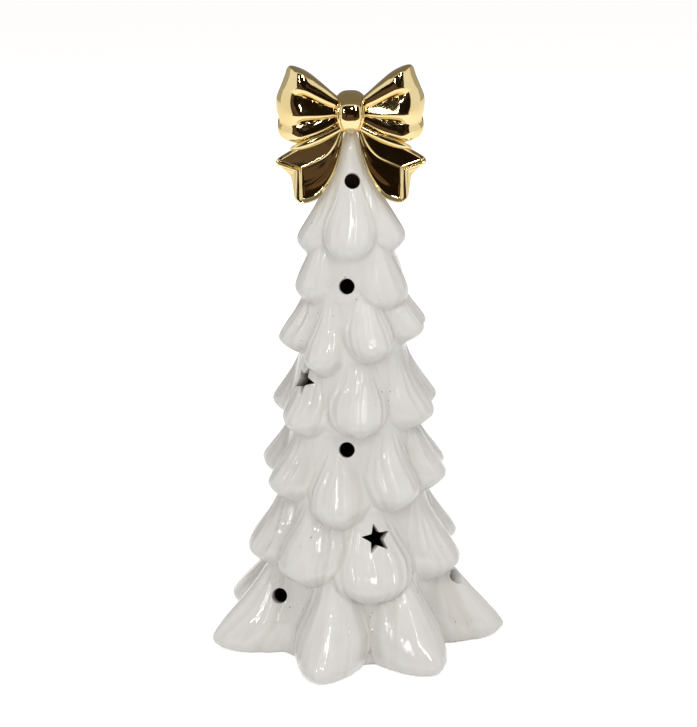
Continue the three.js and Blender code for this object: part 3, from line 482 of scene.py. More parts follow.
def make_boughs():
    """Every bough with its own low point, lean and combed grooves."""
    rng = np.random.default_rng(7)
    boughs = []
    for low, sway, reach, length, half, belly, slope, _skirt, back, members in TIERS:
        half *= FOOT_RADIUS
        for azimuth, drop, breadth in members:
            turn = math.radians(azimuth - members[0][0])
            count = int(round(2 * half * breadth / 3.6))
            grooves = [
                (
                    -0.95 + 1.9 * (k + 0.5 + rng.uniform(-0.3, 0.3)) / count,
                    rng.uniform(1.0, 1.7) / (half * breadth),
                    rng.uniform(0.2, 1.0),
                    rng.uniform(-0.15, 0.25),
                    rng.uniform(0.6, 1.15),
                )
                for k in range(count)
            ]
            boughs.append({
                "azimuth": azimuth, "low": TIP * (low - drop + sway * (1 - math.cos(2 * turn))),
                "reach": FOOT_RADIUS * reach, "length": TIP * length, "half": half * breadth,
                "belly": TIP * belly, "slope": slope, "back": back,
                "lean": rng.uniform(-0.2, 0.2), "wave": rng.uniform(0.03, 0.09), "phase": rng.uniform(0, 6.28),
                "combed": float(np.interp(low, [0.42, 0.7], [1.0, 0.3])), "grooves": grooves,
            })
    return boughs


BOUGHS = make_boughs()


def swell_profile(height, low, length, belly, slope):
    """Share of the full swell at each height: rounded under, drawn out above."""
    under = np.clip((height - low) / belly, 0, 1)
    over = np.clip((height - low - belly) / (length - belly), 0, 1)
    turned = over * over / (over + TIP_ROUNDING)
    return (1 - (1 - under) ** 1.8) * (1 - turned) ** slope


def bough_reading(bough, azimuth, height):
    """Where each point lies on a bough: which points it holds, across, along, and its swell."""
    away = (azimuth - bough["azimuth"] + 180) % 360 - 180
    along = (height - bough["low"]) / bough["length"]
    live = np.flatnonzero((along > 0) & (along < 1) & (np.abs(away) < 75))
    away = away[live]
    along = along[live]
    h = height[live]
    under = np.clip(along / WIDEST, 0, 1)
    over = np.clip((along - WIDEST) / (1 - WIDEST), 0, 1)
    breadth = bough["half"] * np.sqrt(under * (2 - under)) * (1 + (WAIST - 1) * over)
    trunk = trunk_radius(h)
    at = trunk + (bough["reach"] - trunk) * 0.6
    aside = np.radians(away) * at / np.maximum(breadth, 1e-6)
    keep = np.abs(aside) < 1
    live, aside, along, h = live[keep], aside[keep], along[keep], h[keep]
    full = bough["reach"] - trunk_radius(np.array([float(bough["low"] + bough["belly"])]))[0]
    back = full * swell_profile(h, bough["low"], bough["length"], bough["belly"], bough["slope"])
    return live, aside, along, back


def section(bough, aside):
    """Share of the swell across a bough: a round back, or a keeled one that runs out softly."""
    return (1 - np.abs(aside) ** bough["back"]) ** (0.85 if bough["back"] == 2 else 1.2)


def combing(bough, aside, along, back):
    """How deep the combed grooves run at points on a bough, as a share of their full depth."""
    bent = bough["lean"] * (1 - along) + bough["wave"] * np.sin(7 * along + bough["phase"])
    leant = aside + bent * (1 - aside * aside)
    comb = np.zeros_like(aside)
    for place, width, depth, start, end in bough["grooves"]:
        rise = np.clip((along - start) / 0.12, 0, 1)
        fall = np.clip((end - along) / 0.25, 0, 1)
        window = rise * rise * (3 - 2 * rise) * fall * fall * (3 - 2 * fall)
        comb += depth * window * np.exp(-(((leant - place) / width) ** 2))
    sides = 0.4 + 0.6 * np.clip(aside * aside / 0.2, 0, 1)
    return bough["combed"] * comb * np.clip(back / 4, 0, 1) * sides


def skin_radius(azimuth, height, crease=0.6, flute=0.0):
    """The skin's radius at flat arrays of azimuths and heights."""
    total = np.zeros_like(height)
    softness = crease * (1 + 1.2 * np.clip((height / TIP - 0.74) / 0.08, 0, 1))
    for low, sway, reach, length, _half, belly, slope, skirt, _back, members in TIERS:
        raised = TIP * (low + 0.01 + sway * (1 - np.cos(2 * np.radians(azimuth - members[0][0]))))
        trunk = float(trunk_radius(np.array([TIP * (low + belly)]))[0])
        full = skirt * (FOOT_RADIUS * reach - trunk)
        swell = full * swell_profile(height, raised, TIP * length, TIP * belly, slope)
        total += np.expm1(swell / softness)
    for bough in BOUGHS:
        live, aside, along, back = bough_reading(bough, azimuth, height)
        if not len(live):
            continue
        swell = back * section(bough, aside)
        if flute:
            swell = swell - flute * combing(bough, aside, along, back)
        total[live] += np.expm1(np.clip(swell, 0, None) / softness[live])
    return trunk_radius(height) + softness * np.log1p(total)


def on_tree(azimuth, radius, height):
    """Points in metres in the frame from azimuths in degrees and mm."""
    a = np.radians(azimuth)
    return np.stack([radius * np.sin(a), -radius * np.cos(a), height + 0 * a], -1) * MM + AXIS


def tree_grid(columns, heights, crease, flute, grow=0.0):
    """Skin radii on a grid, each the mean over its own cell so that steep undersides stay even."""
    azimuth = np.arange(columns) * 360 / columns
    step = np.gradient(heights)
    total = 0
    spots = [-0.33, 0, 0.33]
    for a in spots:
        for b in spots:
            az, h = np.meshgrid(azimuth + a * 360 / columns, heights)
            h = np.clip(h + b * step[:, None], 0, TIP)
            total = total + skin_radius(az.ravel(), h.ravel(), crease, flute).reshape(h.shape)
    return azimuth, total / 9 + grow


def outer_rings(columns, heights, crease, flute, grow=0.0):
    azimuth, radius = tree_grid(columns, heights, crease, flute, grow)
    foot = np.clip(1 - heights / FOOT_ROUNDING, 0, 1)[:, None]
    radius = radius - FOOT_ROUNDING * (1 - np.sqrt(1 - foot ** 2)) * (heights[:, None] < FOOT_ROUNDING)
    az, h = np.meshgrid(azimuth, heights)
    return on_tree(az, radius, h)


def hollow_ring(azimuth, height, rise):
    """The hollow's radius, one wall in from the least radius of the skin about each point."""
    least = np.full_like(azimuth, 1e9)
    for across in np.linspace(-7, 7, 5):
        for up in np.linspace(-0.6, 0.6, 5) * rise:
            near = np.full_like(azimuth, min(height + up, TIP))
            least = np.minimum(least, skin_radius(azimuth + across, near))
    return np.maximum(least - WALL, LEAST_HOLLOW)


def through_wall(outline, azimuth, height, aim, lip):
    """A cutter with a rounded mouth that follows the skin, in mm about the axis."""
    height *= TIP
    a = math.radians(aim)
    level = math.cos(CUTTER_RISE)
    out = np.array([math.sin(a) * level, -math.cos(a) * level, math.sin(CUTTER_RISE)])
    side = np.array([math.cos(a), math.sin(a), 0])
    up = np.cross(out, side)
    middle = float(skin_radius(np.array([float(azimuth)]), np.array([float(height)]))[0])
    around = math.radians(azimuth)
    start = np.array([middle * math.sin(around), -middle * math.cos(around), height])
    reach_in = min(CUTTER_REACH, middle)
    before = np.roll(outline, 1, 0)
    after = np.roll(outline, -1, 0)
    tangent = after - before
    away = np.stack([tangent[:, 1], -tangent[:, 0]], -1)
    away /= np.linalg.norm(away, axis=1)[:, None]

    def skin_along(points):
        steps = np.arange(CUTTER_SEARCH, -CUTTER_SEARCH, -0.1)
        p = points[:, None, :] + steps[None, :, None] * out
        az = np.degrees(np.arctan2(p[..., 0], -p[..., 1]))
        surface = skin_radius(az.ravel(), p[..., 2].ravel()).reshape(az.shape)
        outside = np.hypot(p[..., 0], p[..., 1]) - surface > 0
        first = np.argmax(~outside, axis=1)
        return steps[first]

    rings = []
    mouth = [(lip * (1 - math.cos(t)), lip * (1 - math.sin(t))) for t in (0, 0.4, 0.8, 1.15, 1.5)]
    for offset, depth in ((0, reach_in), *mouth, (lip * 1.12, -0.4), (lip * 1.12, -12)):
        flat = outline + away * offset
        points = start + flat[:, :1] * side + flat[:, 1:] * up
        rings.append(points + (skin_along(points) - depth)[:, None] * out)
    return np.array(rings) * MM + AXIS


def round_outline(radius, sides=36):
    t = np.arange(sides) * 2 * np.pi / sides
    return np.stack([radius * np.cos(t), radius * np.sin(t)], -1)


def star_outline(radius, turn):
    corners = []
    for k in range(10):
        t = math.pi / 2 + math.pi * k / 5 + math.radians(turn)
        r = radius if k % 2 == 0 else radius * 0.44
        corners.append((r * math.cos(t), r * math.sin(t)))
    corners = np.array(corners)
    points = []
    for a, b in zip(corners, np.roll(corners, -1, 0)):
        for share in (0.06, 0.2, 0.4, 0.6, 0.8, 0.94):
            points.append(a + (b - a) * share)
    return np.array(points)


def tree_mesh(sizes):
    columns = sizes.columns
    crease = sizes.crease / MM
    heights = np.concatenate([
        [0, 0.25, 0.7], np.linspace(FOOT_ROUNDING, TIP - 2, sizes.rows), [TIP - 1.2, TIP - 0.5, TIP - 0.1],
    ])
    outer = outer_rings(columns, heights, crease, sizes.flute / MM, -0.06)
    azimuth = np.arange(columns) * 360 / columns
    inside = [(PLATE_RADIUS, PLATE_TOP), (OPENING_RADIUS, PLATE_TOP), (OPENING_RADIUS, RECESS[1]),
              (OPENING_RADIUS + 0.5, RECESS[1]), (RECESS[0], RECESS[1]), (RECESS[0], 0)]
    plate = [on_tree(azimuth, np.full(columns, r), np.full(columns, float(z))) for r, z in inside]
    hollow_heights = np.linspace(TIP - 4.6 * WALL, PLATE_TOP, 24)
    rise = hollow_heights[0] - hollow_heights[1]
    hollow = [on_tree(azimuth, hollow_ring(azimuth, h, rise), np.full(columns, h)) for h in hollow_heights]
    return skin([*hollow, *plate, *outer])


def comb_map(mesh, points_mm):
    """A UV map that runs across and along each bough, and how deep each point lies in a crease, for the
    glaze's darker tone there, which is partly pooled glaze and partly painted shade.
    """
    azimuth = np.degrees(np.arctan2(points_mm[:, 0], -points_mm[:, 1]))
    height = points_mm[:, 2]
    radius = np.hypot(points_mm[:, 0], points_mm[:, 1])
    best = np.full(len(height), -1.0)
    second = np.zeros(len(height))
    across = np.radians(azimuth) * 30
    along_mm = height.copy()
    combed = np.zeros(len(height))
    for i, bough in enumerate(BOUGHS):
        live, aside, along, back = bough_reading(bough, azimuth, height)
        swell = back * section(bough, aside)
        better = swell > best[live]
        second[live] = np.where(better, np.maximum(best[live], 0), np.maximum(second[live], swell))
        chosen = live[better]
        best[chosen] = swell[better]
        combed[chosen] = combing(bough, aside, along, back)[better]
        across[chosen] = (aside * bough["half"])[better] + 7.3 * i
        along_mm[chosen] = height[chosen] - bough["low"] + 11.7 * i
    near = best - second
    # How near a point lies to the crease between two boughs, for the glaze's darker tone there, partly pooled
    # glaze and partly painted shade
    pooled_glaze_and_shade = np.exp(-np.clip(near, 0, None) / 1.3) * np.clip(second / 1.3, 0.15, 1)
    surface = skin_radius(azimuth, height)
    deep = np.clip((surface - radius - 2.2) / 1.2, 0, 1)
    low = np.clip((0.9 - height) / 0.6, 0, 1)
    under = (height < PLATE_TOP + 0.1) & (radius < RECESS[0] + 0.1)
    float_attribute(mesh, "pooled_glaze_and_shade", pooled_glaze_and_shade)
    # How deep the combed grooves run, for the glaze's darker tone in them, partly pooled glaze and partly
    # painted shade
    float_attribute(mesh, "combed", np.clip(combed, 0, 1))
    float_attribute(mesh, "bare", np.maximum(np.maximum(deep, low), under))
    # The hollow wall behind the holes, which the glaze paints near black as shade though its clay is pale
    float_attribute(mesh, "inside", np.where(under, 0, deep) * np.clip((height - 1) / 2, 0, 1))
    uv = mesh.uv_layers.new(name="comb")
    corner = np.zeros(len(mesh.loops), np.int32)
    mesh.loops.foreach_get("vertex_index", corner)
    flat = np.stack([across[corner], along_mm[corner]], -1) * MM
    uv.data.foreach_set("uv", flat.astype(np.float32).ravel())


class TREE_OT_cast_tree(bpy.types.Operator):
    """Builds the cast tree with its combed boughs, light holes and stars"""
    bl_idname = "tree.cast_tree"
    bl_label = "Cast tree"

    def execute(self, context):
        sizes = context.scene.tree_sizes
        piece = add_mesh("glazed_tree", *tree_mesh(sizes))
        lip = sizes.lip / MM
        cutters = [through_wall(round_outline(sizes.hole / MM), *hole, lip) for hole in HOLES]
        cutters += [through_wall(star_outline(sizes.star / MM, star[3]), *star[:3], lip) for star in STARS]
        for rings in cutters:
            combine(piece, add_mesh("cutter", *skin(rings)), "DIFFERENCE")
        comb_map(piece.data, (mesh_points(piece.data) - AXIS) / MM)
        smooth(piece, 42)
        dress(piece, glaze_finish(tuple(sizes.glaze), tuple(sizes.clay)))
        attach(piece, "tree")
        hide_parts("tree_body")
        return {"FINISHED"}


# The bow, in mm from the knot's middle: to the side, up, and forward of the tree's axis

GLUE = 0.3


def fold_relief(v, low, high):
    """Relief of a loop's three folds at shares of its height: a rounded lip under a flat panel."""
    edges = np.array([0, low, high, 1])
    fold = np.clip(np.searchsorted(edges, v, side="right") - 1, 0, 2)
    within = (v - edges[fold]) / (edges[fold + 1] - edges[fold])
    lip = np.sin(np.clip(within / 0.36, 0, 1) * math.pi / 2) ** 0.8
    fall = np.where(fold == 2, 0.42, 0.85)
    panel = 1 - fall * np.clip((within - 0.36) / 0.64, 0, 1) ** 1.25
    return np.minimum(lip, panel)


def bow_point(side, x, up, forward):
    return np.stack([side * x, -forward, up], -1)


def smooth_path(points, count):
    """A Catmull-Rom curve through points, as evenly shared samples."""
    points = np.array(points, float)
    padded = np.vstack([2 * points[0] - points[1], points, 2 * points[-1] - points[-2]])
    t = np.linspace(0, len(points) - 1 - 1e-9, count)
    i = t.astype(int)
    f = (t - i)[:, None]
    a, b, c, d = (padded[i + k] for k in range(4))
    return 0.5 * (2 * b + (c - a) * f + (2 * a - 5 * b + 4 * c - d) * f ** 2
                  + (3 * b - a - 3 * c + d) * f ** 3)


def smooth_curve(points):
    """A smooth function through pairs of place and value."""
    curve = smooth_path(points, 90)
    return lambda place: np.interp(place, curve[:, 0], curve[:, 1])


def bow_loop(side):
    """A folded loop, drawn as rings from the knot out to its closed end."""
    shares = 1 - (1 - np.linspace(0, 1, 52)) ** 1.8
    shares[-1] = 0.9993
    front = (1 - np.cos(np.linspace(0, math.pi, 92))) / 2
    back = (1 - np.cos(np.linspace(math.pi, 0, 30)[1:-1])) / 2
    edge = smooth_curve([(0, 30.6), (0.05, 32.3), (0.14, 32.6), (0.23, 31.9), (0.38, 32.9), (0.57, 32.9),
                         (0.76, 30.8), (0.9, 29.1), (1, 28.2)])
    above_at = smooth_curve([(0, 7.6), (0.08, 9.0), (0.35, 14.4), (0.6, 18.9), (0.9, 22.3), (1, 22.2)])
    below_at = smooth_curve([(0, 5.2), (0.07, 6.6), (0.3, 10), (0.63, 12.9), (0.8, 13.2), (0.95, 12.5),
                             (1, 11.4)])
    rings = []
    for share in shares:
        above = above_at(share)
        below = below_at(share)
        bend = max(0.0, (share - 0.62) / 0.38)
        closing = (1 - bend ** 1.5) ** (2 / 3)
        thick = 9.0 * (0.5 + 0.5 * min(1, share * 1.7)) * closing
        inset = 2.2 * (1 - math.sqrt(1 - share ** 6))
        low = 0.36 + (0.235 - 0.36) * share
        high = 0.62 + (0.7 - 0.62) * share
        turned = np.clip((share - 0.58) / 0.2, 0, 1)
        depth = 0.42 * min(1, 0.45 + share * 1.2) * (1 - 0.75 * turned * turned * (3 - 2 * turned))

        def at(v, forward):
            x = 5.5 + (edge(v) - 5.5) * share
            up = -below + inset + (above + below - inset * 2.2) * v
            return bow_point(side, x, up, 2.5 + forward)

        power = np.where(front > 0.5, 6.5, 3.2)
        whole = (1 - np.abs(2 * front - 1) ** power) ** (1 / power)
        relief = whole * (1 - depth) + fold_relief(front, low, high) * np.sqrt(whole) * depth
        ring = np.vstack([at(front, thick * relief),
                          at(back, -0.8 * thick * np.sqrt(np.clip(1 - (2 * back - 1) ** 2, 0, 1)))])
        rings.append(ring if side < 0 else ring[::-1])
    return np.array(rings)


def bow_knot():
    """A barrel with soft pleats, fuller in front than at the back."""
    rings = []
    around = 120
    t = np.arange(around) * 2 * np.pi / around
    cos, sin = np.cos(t), np.sin(t)
    for p in np.linspace(-0.4985, 0.4985, 50) * math.pi:
        bulge = math.cos(p) ** 0.72
        up = math.copysign(abs(math.sin(p)) ** 0.9, p) * (9.7 if p > 0 else 9.4)
        half = 7.8 * bulge * (1 - 0.2 * max(0.0, -math.sin(p)))
        x = half * np.sign(cos) * np.abs(cos) ** 0.7
        pleats = 1 - 0.05 * np.exp(-((np.abs(x) / max(half, 1e-6) - 0.66) / 0.06) ** 2)
        reach = np.where(sin < 0, 12.7 - 1.3 * max(0.0, math.sin(p)), 8.0)
        y = np.sign(sin) * np.abs(sin) ** 0.62 * reach * bulge * pleats
        rings.append(np.stack([x, y, np.full(around, up)], -1))
    return np.array(rings)


def bow_tail(side):
    """A ribbon of two dished panels with a fold between them that runs out into the notch."""
    # The rings stand closer together towards the tail's end, where the rim turns over
    shares = np.sin(np.linspace(0, math.pi / 2, 66))
    samples = np.linspace(0, 1, 240)

    def path(*points):
        curve = smooth_path(points, len(samples))
        return np.stack([np.interp(shares, samples, curve[:, k]) for k in range(3)], -1)

    inner = path([3, -6, 9.5], [5.3, -19, 10.5], [9.4, -29.6, 11.5], [15.8, -37.4, 12.2], [25.8, -39.9, 12])
    middle = path([3.8, -5.5, 9.8], [6.8, -12.6, 10.2], [11, -17.8, 10], [17.5, -21.6, 9.6], [25.2, -25.1, 9])
    outer = path([5, -3, 8.5], [14.7, -10.4, 7.5], [21.5, -13.4, 7], [29, -17.4, 6.2], [36.2, -22.1, 5.5])
    place = np.linspace(-1, 1, 61)
    rim = 1 - np.exp(-((1 - np.abs(place)) / 0.085) ** 2)
    fold = 0.13 * np.exp(-(place / 0.03) ** 2) + 0.16 * np.exp(-((place + 0.5) / 0.12) ** 2)
    dish = 1.7 * rim * (1 - fold)
    rolled = 1.0 * np.clip((np.abs(place) - 0.9) / 0.1, 0, 1) ** 3
    rings = []
    for share, a, b, c in zip(shares, inner, middle, outer):
        rise = float(np.clip((share - 0.885) / 0.07, 0, 1))
        turn = 1 - math.sqrt(1 - max(0.0, (share - 0.93) / 0.07) ** 2)
        narrow = 1 - math.sqrt(1 - max(0.0, (share - 0.86) / 0.14) ** 2)

        def across(at):
            at = (at * (1 - np.where(at > 0, 0.42, 0.3) * narrow))[:, None]
            return np.where(at < 0, b + (a - b) * -at, b + (c - b) * at)

        top = across(place)
        top[:, 2] -= dish * (1 - rise * rise * (3 - 2 * rise)) + rolled + 1.5 * turn
        under_place = np.linspace(0.985, -0.985, 20)
        under = across(under_place)
        under[:, 2] -= 4.4 * (1 - 0.25 * np.abs(under_place) ** 6)
        ring = np.vstack([top, under])
        ring = bow_point(side, ring[:, 0], ring[:, 1], ring[:, 2])
        rings.append(ring if side < 0 else ring[::-1])
    return np.array(rings)


def bow_roll(side, knot, gold):
    """The curled edge of ribbon between a loop and the tail under it, thicker at its outer end."""
    start, bend, end = (Vector(bow_point(side, *place) * MM + AXIS + (0, 0, knot))
                        for place in ((4, -5.5, 7.5), (16, -12, 8.6), (27, -15.4, 5)))
    rule = Rule("roll", Start=start, Bend=bend, End=end, Thin=0.0013, Thick=0.0023, Finish=gold)
    path = rule.add("GeometryNodeCurveQuadraticBezier", Resolution=24, Start=rule.given["Start"],
                    Middle=rule.given["Bend"], End=rule.given["End"])
    share = rule.add("GeometryNodeSplineParameter").outputs["Factor"]
    radius = rule.add("ShaderNodeMapRange", Value=share, To_Min=rule.given["Thin"], To_Max=rule.given["Thick"])
    closing = rule.add("ShaderNodeMapRange", Value=rule.work_out("POWER", share, 7.0), To_Min=1.0, To_Max=0.15)
    scale = rule.work_out("MULTIPLY", radius.outputs["Result"], closing.outputs["Result"])
    outline = rule.add("GeometryNodeCurvePrimitiveCircle", Resolution=24, Radius=1.0)
    tube = rule.add("GeometryNodeCurveToMesh", Curve=path.outputs[0], Profile_Curve=outline.outputs[0],
                    Scale=scale, Fill_Caps=True)
    return rule.piece(tube.outputs[0])


def bow_shell(name, rings, knot):
    shell = rings * MM
    shell[..., 2] += knot
    return add_mesh(name, *skin(shell + AXIS))


class TREE_OT_gilded_bow(bpy.types.Operator):
    """Builds the gilded bow from its knot, loops and tails"""
    bl_idname = "tree.gilded_bow"
    bl_label = "Gilded bow"

    def execute(self, context):
        sizes = context.scene.bow_sizes
        gold = gold_finish(tuple(sizes.gold))
        bow = bow_shell("gilded_bow", bow_knot(), sizes.knot)
        for side in (-1, 1):
            combine(bow, bow_shell("loop", bow_loop(side), sizes.knot), "UNION")
            combine(bow, bow_shell("tail", bow_tail(side), sizes.knot), "UNION")
            combine(bow, bow_roll(side, sizes.knot, gold), "UNION")
        # The bow is glued on, with the glue's thickness left free over the tree's tip
        heights = np.concatenate([np.linspace(150, TIP - 2, 90), [TIP - 1, TIP - 0.1]])
        tip = outer_rings(120, heights, 0.6, 0.0, GLUE)
        combine(bow, add_mesh("tip", *skin(tip)), "DIFFERENCE")
        smooth(bow, 38)
        dress(bow, gold)
        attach(bow, "tree")
        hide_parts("bow")
        return {"FINISHED"}


# The battery light

def cell_finish():
    """A plated can with a turned face and a dark moulded gasket in its crimped edge."""
    f = Finish("cell_can")
    turned = f.noise(1500, 3, (0.2, 1, 1))
    cloud = f.ramp(f.noise(300, 2), 0.35, 0.7)
    plate = f.mix(cloud, (0.64, 0.63, 0.61), (0.55, 0.54, 0.52))
    gasket = f.attribute("gasket")
    f.colour(f.mix(gasket, plate, (0.035, 0.035, 0.04)))
    f.join(f.sum(1.0, gasket, "SUBTRACT"), f.shader.inputs["Metallic"])
    f.rough(f.sum(f.ramp(turned, 0.3, 0.75, 0.2, 0.33), f.sum(gasket, 0.3, "MULTIPLY")))
    f.normal(f.bump(turned, 0.12, 0.0001))
    return f.material


def board_finish():
    """Green solder mask with paler tracks under it and a fine grain."""
    f = Finish("solder_mask")
    weave = f.noise(1300, 2, (1, 4, 1))
    tracks = f.add("ShaderNodeTexBrick", offset=0.37, squash=1.6, squash_frequency=3)
    for label, value in (("Scale", 230), ("Mortar Size", 0.11), ("Mortar Smooth", 0.15), ("Row Height", 0.6)):
        tracks.inputs[label].default_value = value
    f.join(f.place, tracks.inputs["Vector"])
    line = f.sum(tracks.outputs["Fac"], f.ramp(f.noise(160, 0), 0.5, 0.54), "MULTIPLY")
    mask = f.mix(f.ramp(weave, 0.3, 0.7), (0.022, 0.15, 0.06), (0.03, 0.175, 0.07))
    f.colour(f.mix(line, mask, (0.05, 0.26, 0.11)))
    f.rough(f.ramp(weave, 0.3, 0.7, 0.3, 0.42))
    f.normal(f.bump(line, 0.3, 0.00004))
    return f.material


def ringed(profile, around=48):
    """Rings about Z from a profile of radii and heights in mm."""
    t = np.arange(around) * 2 * np.pi / around
    return np.array([np.stack([r * np.cos(t), r * np.sin(t), np.full(around, float(z))], -1)
                     for r, z in profile])


def rounded(corner, radius, start, end, steps=4):
    """Points of a rounded corner, its arc running between two angles in degrees about its centre."""
    arc = [math.radians(a) for a in np.linspace(start, end, steps)]
    return [(corner[0] + radius * math.cos(a), corner[1] + radius * math.sin(a)) for a in arc]


def button_cell():
    """One 11.6 by 5.4 mm cell along Z, its negative cap at the bottom inside the crimped can."""
    profile = [(0.4, 0), *rounded((4.35, 0.25), 0.25, -90, 0), (4.62, 0.5), (4.66, 0.52), (5.0, 0.5),
               (5.06, 0.46), *rounded((5.35, 0.62), 0.25, -150, -40), *rounded((5.5, 0.95), 0.3, -30, 0),
               (5.8, 3.0), *rounded((5.55, 5.15), 0.25, 0, 90), (5.0, 5.4), (4.9, 5.34), (4.2, 5.34),
               (4.1, 5.4), (0.4, 5.4)]
    cell = add_mesh("button_cell", *skin(ringed(profile) * MM))
    points = mesh_points(cell.data) / MM
    radius = np.hypot(points[:, 0], points[:, 1])
    float_attribute(cell.data, "gasket", (radius > 4.6) & (radius < 5.1) & (points[:, 2] < 1))
    return smooth(cell, 40)


def cross_screw():
    """A pan-head screw along Z, head at the bottom, with a thread and a tapered cross recess."""
    around = 40
    t = np.arange(around) * 2 * np.pi / around
    rings = list(ringed([(0.3, 0), (1.2, 0.03), (1.55, 0.12), (1.75, 0.32), (1.8, 0.55), (1.8, 0.98),
                         (1.74, 1.1), (0.86, 1.1)], around))
    first, last, pitch, core, thread = 1.25, 5.35, 0.62, 0.74, 0.24
    for z in np.arange(first, last, 0.09):
        turn = (z / pitch - t / (2 * np.pi)) % 1
        ridge = np.clip(1 - np.abs(turn - 0.5) / 0.28, 0, 1)
        fade = np.clip(min((z - first) / 0.4, (last - z) / 0.5), 0, 1)
        r = core + thread * ridge * fade
        rings.append(np.stack([r * np.cos(t), r * np.sin(t), np.full(around, z)], -1))
    rings += list(ringed([(0.6, 5.6), (0.3, 5.92), (0.08, 6.0)], around))
    form = add_mesh("cross_screw", *skin(np.array(rings) * MM))
    arms = []
    for depth, arm, w in ((-0.3, 1.12, 0.3), (0.0, 1.08, 0.28), (0.62, 0.5, 0.2)):
        outline = [(arm, -w), (arm, w), (w, w), (w, arm), (-w, arm), (-w, w), (-arm, w), (-arm, -w), (-w, -w),
                   (-w, -arm), (w, -arm), (w, -w)]
        arms.append([(x, y, depth) for x, y in outline])
    combine(form, add_mesh("cross", *skin(np.array(arms) * MM)), "DIFFERENCE")
    return smooth(form, 32)


def in_a_row(name, piece, count, start, step, tilt, twist, finish, seed=3):
    """Copies of a piece on a line of points, tilted alike and each twisted about its own axis."""
    rule = Rule(name, Piece=piece, Count=count, Start=Vector(start), Step=Vector(step), Tilt=Vector(tilt),
                Twist=float(twist), Seed=seed, Finish=finish)
    line = rule.add("GeometryNodeMeshLine", Count=rule.given["Count"], Start_Location=rule.given["Start"],
                    Offset=rule.given["Step"])
    source = rule.add("GeometryNodeObjectInfo", Object=rule.given["Piece"])
    chance = rule.add("FunctionNodeRandomValue", {"data_type": "FLOAT"}, Seed=rule.given["Seed"])
    rule.tree.links.new(rule.given["Twist"], [s for s in chance.inputs if s.name == "Max" and s.enabled][0])
    amount = [s for s in chance.outputs if s.enabled][0]
    turn = rule.add("ShaderNodeCombineXYZ", Z=amount)
    placed = rule.add("GeometryNodeInstanceOnPoints", Points=line.outputs[0],
                      Instance=source.outputs["Geometry"], Rotation=rule.given["Tilt"])
    spun = rule.add("GeometryNodeRotateInstances", Instances=placed.outputs[0], Rotation=turn.outputs[0])
    return rule.piece(spun.outputs[0])


def coil_spring(low, high, axis, finish):
    """The conical coil between the contact plate and the first cell."""
    wire = 0.00028
    rule = Rule("contact_spring", Wire=wire, Turns=3.6, Wide=0.0034, Narrow=0.0018,
                Length=float(high.x - low.x) - 2 * wire, Place=Vector((low.x + wire, axis[1], axis[2])),
                Steps=36, Finish=finish)
    path = rule.add("GeometryNodeCurveSpiral", Resolution=rule.given["Steps"], Rotations=rule.given["Turns"],
                    Start_Radius=rule.given["Wide"], End_Radius=rule.given["Narrow"],
                    Height=rule.given["Length"])
    outline = rule.add("GeometryNodeCurvePrimitiveCircle", Resolution=12, Radius=rule.given["Wire"])
    tube = rule.add("GeometryNodeCurveToMesh", Curve=path.outputs[0], Profile_Curve=outline.outputs[0],
                    Fill_Caps=True)
    placed = rule.add("GeometryNodeTransform", Geometry=tube.outputs[0], Translation=rule.given["Place"],
                      Rotation=(0, math.pi / 2, 0))
    return rule.piece(placed.outputs[0])


def rounder(work, least=0.012):
    """Splits the chords of the large circles about the light's axis and brings them out to the circle."""
    layer = work.verts.layers.float.new("radius")
    for vert in work.verts:
        vert[layer] = math.hypot(vert.co.x - AXIS[0], vert.co.y - AXIS[1])
    chords = []
    for edge in work.edges:
        a, b = edge.verts
        if (min(a[layer], b[layer]) > least and abs(a[layer] - b[layer]) < 2e-5
                and abs(a.co.z - b.co.z) < 1e-6 and 0.0012 < edge.calc_length() < 0.19 * a[layer]):
            chords.append(edge)
    made = bmesh.ops.subdivide_edges(work, edges=chords, cuts=2, use_grid_fill=True)
    for vert in made["geom_inner"]:
        if isinstance(vert, bmesh.types.BMVert):
            x, y = vert.co.x - AXIS[0], vert.co.y - AXIS[1]
            out = vert[layer] / math.hypot(x, y)
            vert.co.x, vert.co.y = AXIS[0] + x * out, AXIS[1] + y * out
    work.verts.layers.float.remove(layer)


def softened(name, node, finish, width):
    """A moulded piece made from its node's mesh, its sharp edges rounded as a mould leaves them."""
    work = bmesh.new()
    work.from_mesh(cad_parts[node].data)
    bmesh.ops.remove_doubles(work, verts=work.verts, dist=2e-6)
    bmesh.ops.dissolve_limit(work, angle_limit=math.radians(1), verts=work.verts, edges=work.edges)
    rounder(work)
    mesh = bpy.data.meshes.new(name)
    work.to_mesh(mesh)
    work.free()
    piece = link_mesh(name, mesh)
    bevel = piece.modifiers.new("Edges", "BEVEL")
    bevel.width = width
    bevel.segments = 2
    bevel.limit_method = "ANGLE"
    bevel.angle_limit = math.radians(34)
    replace_mesh(piece)
    dress(piece, finish)
    return smooth(piece, 30)


def led_lens(low, high, finish):
    """A clear cast lens: a flange with a softened rim under a full dome."""
    middle = (*middle_of(low, high)[:2], low.z)
    tall = (high.z - low.z) / MM
    round_off = 2.5
    dome = [(round_off * math.cos(a), tall - round_off + round_off * math.sin(a))
            for a in np.linspace(0.1, 1.52, 12)]
    profile = [(0.6, 0), (2.7, 0), (2.86, 0.08), (2.9, 0.25), (2.9, 0.8), (2.82, 0.96), (2.6, 1.0),
               (2.52, 1.1), (round_off, 2.0), (round_off, tall - 3.0), *dome]
    lens = add_mesh("clear_lens", *skin(ringed(profile) * MM + middle))
    dress(lens, finish)
    return smooth(lens, 50)


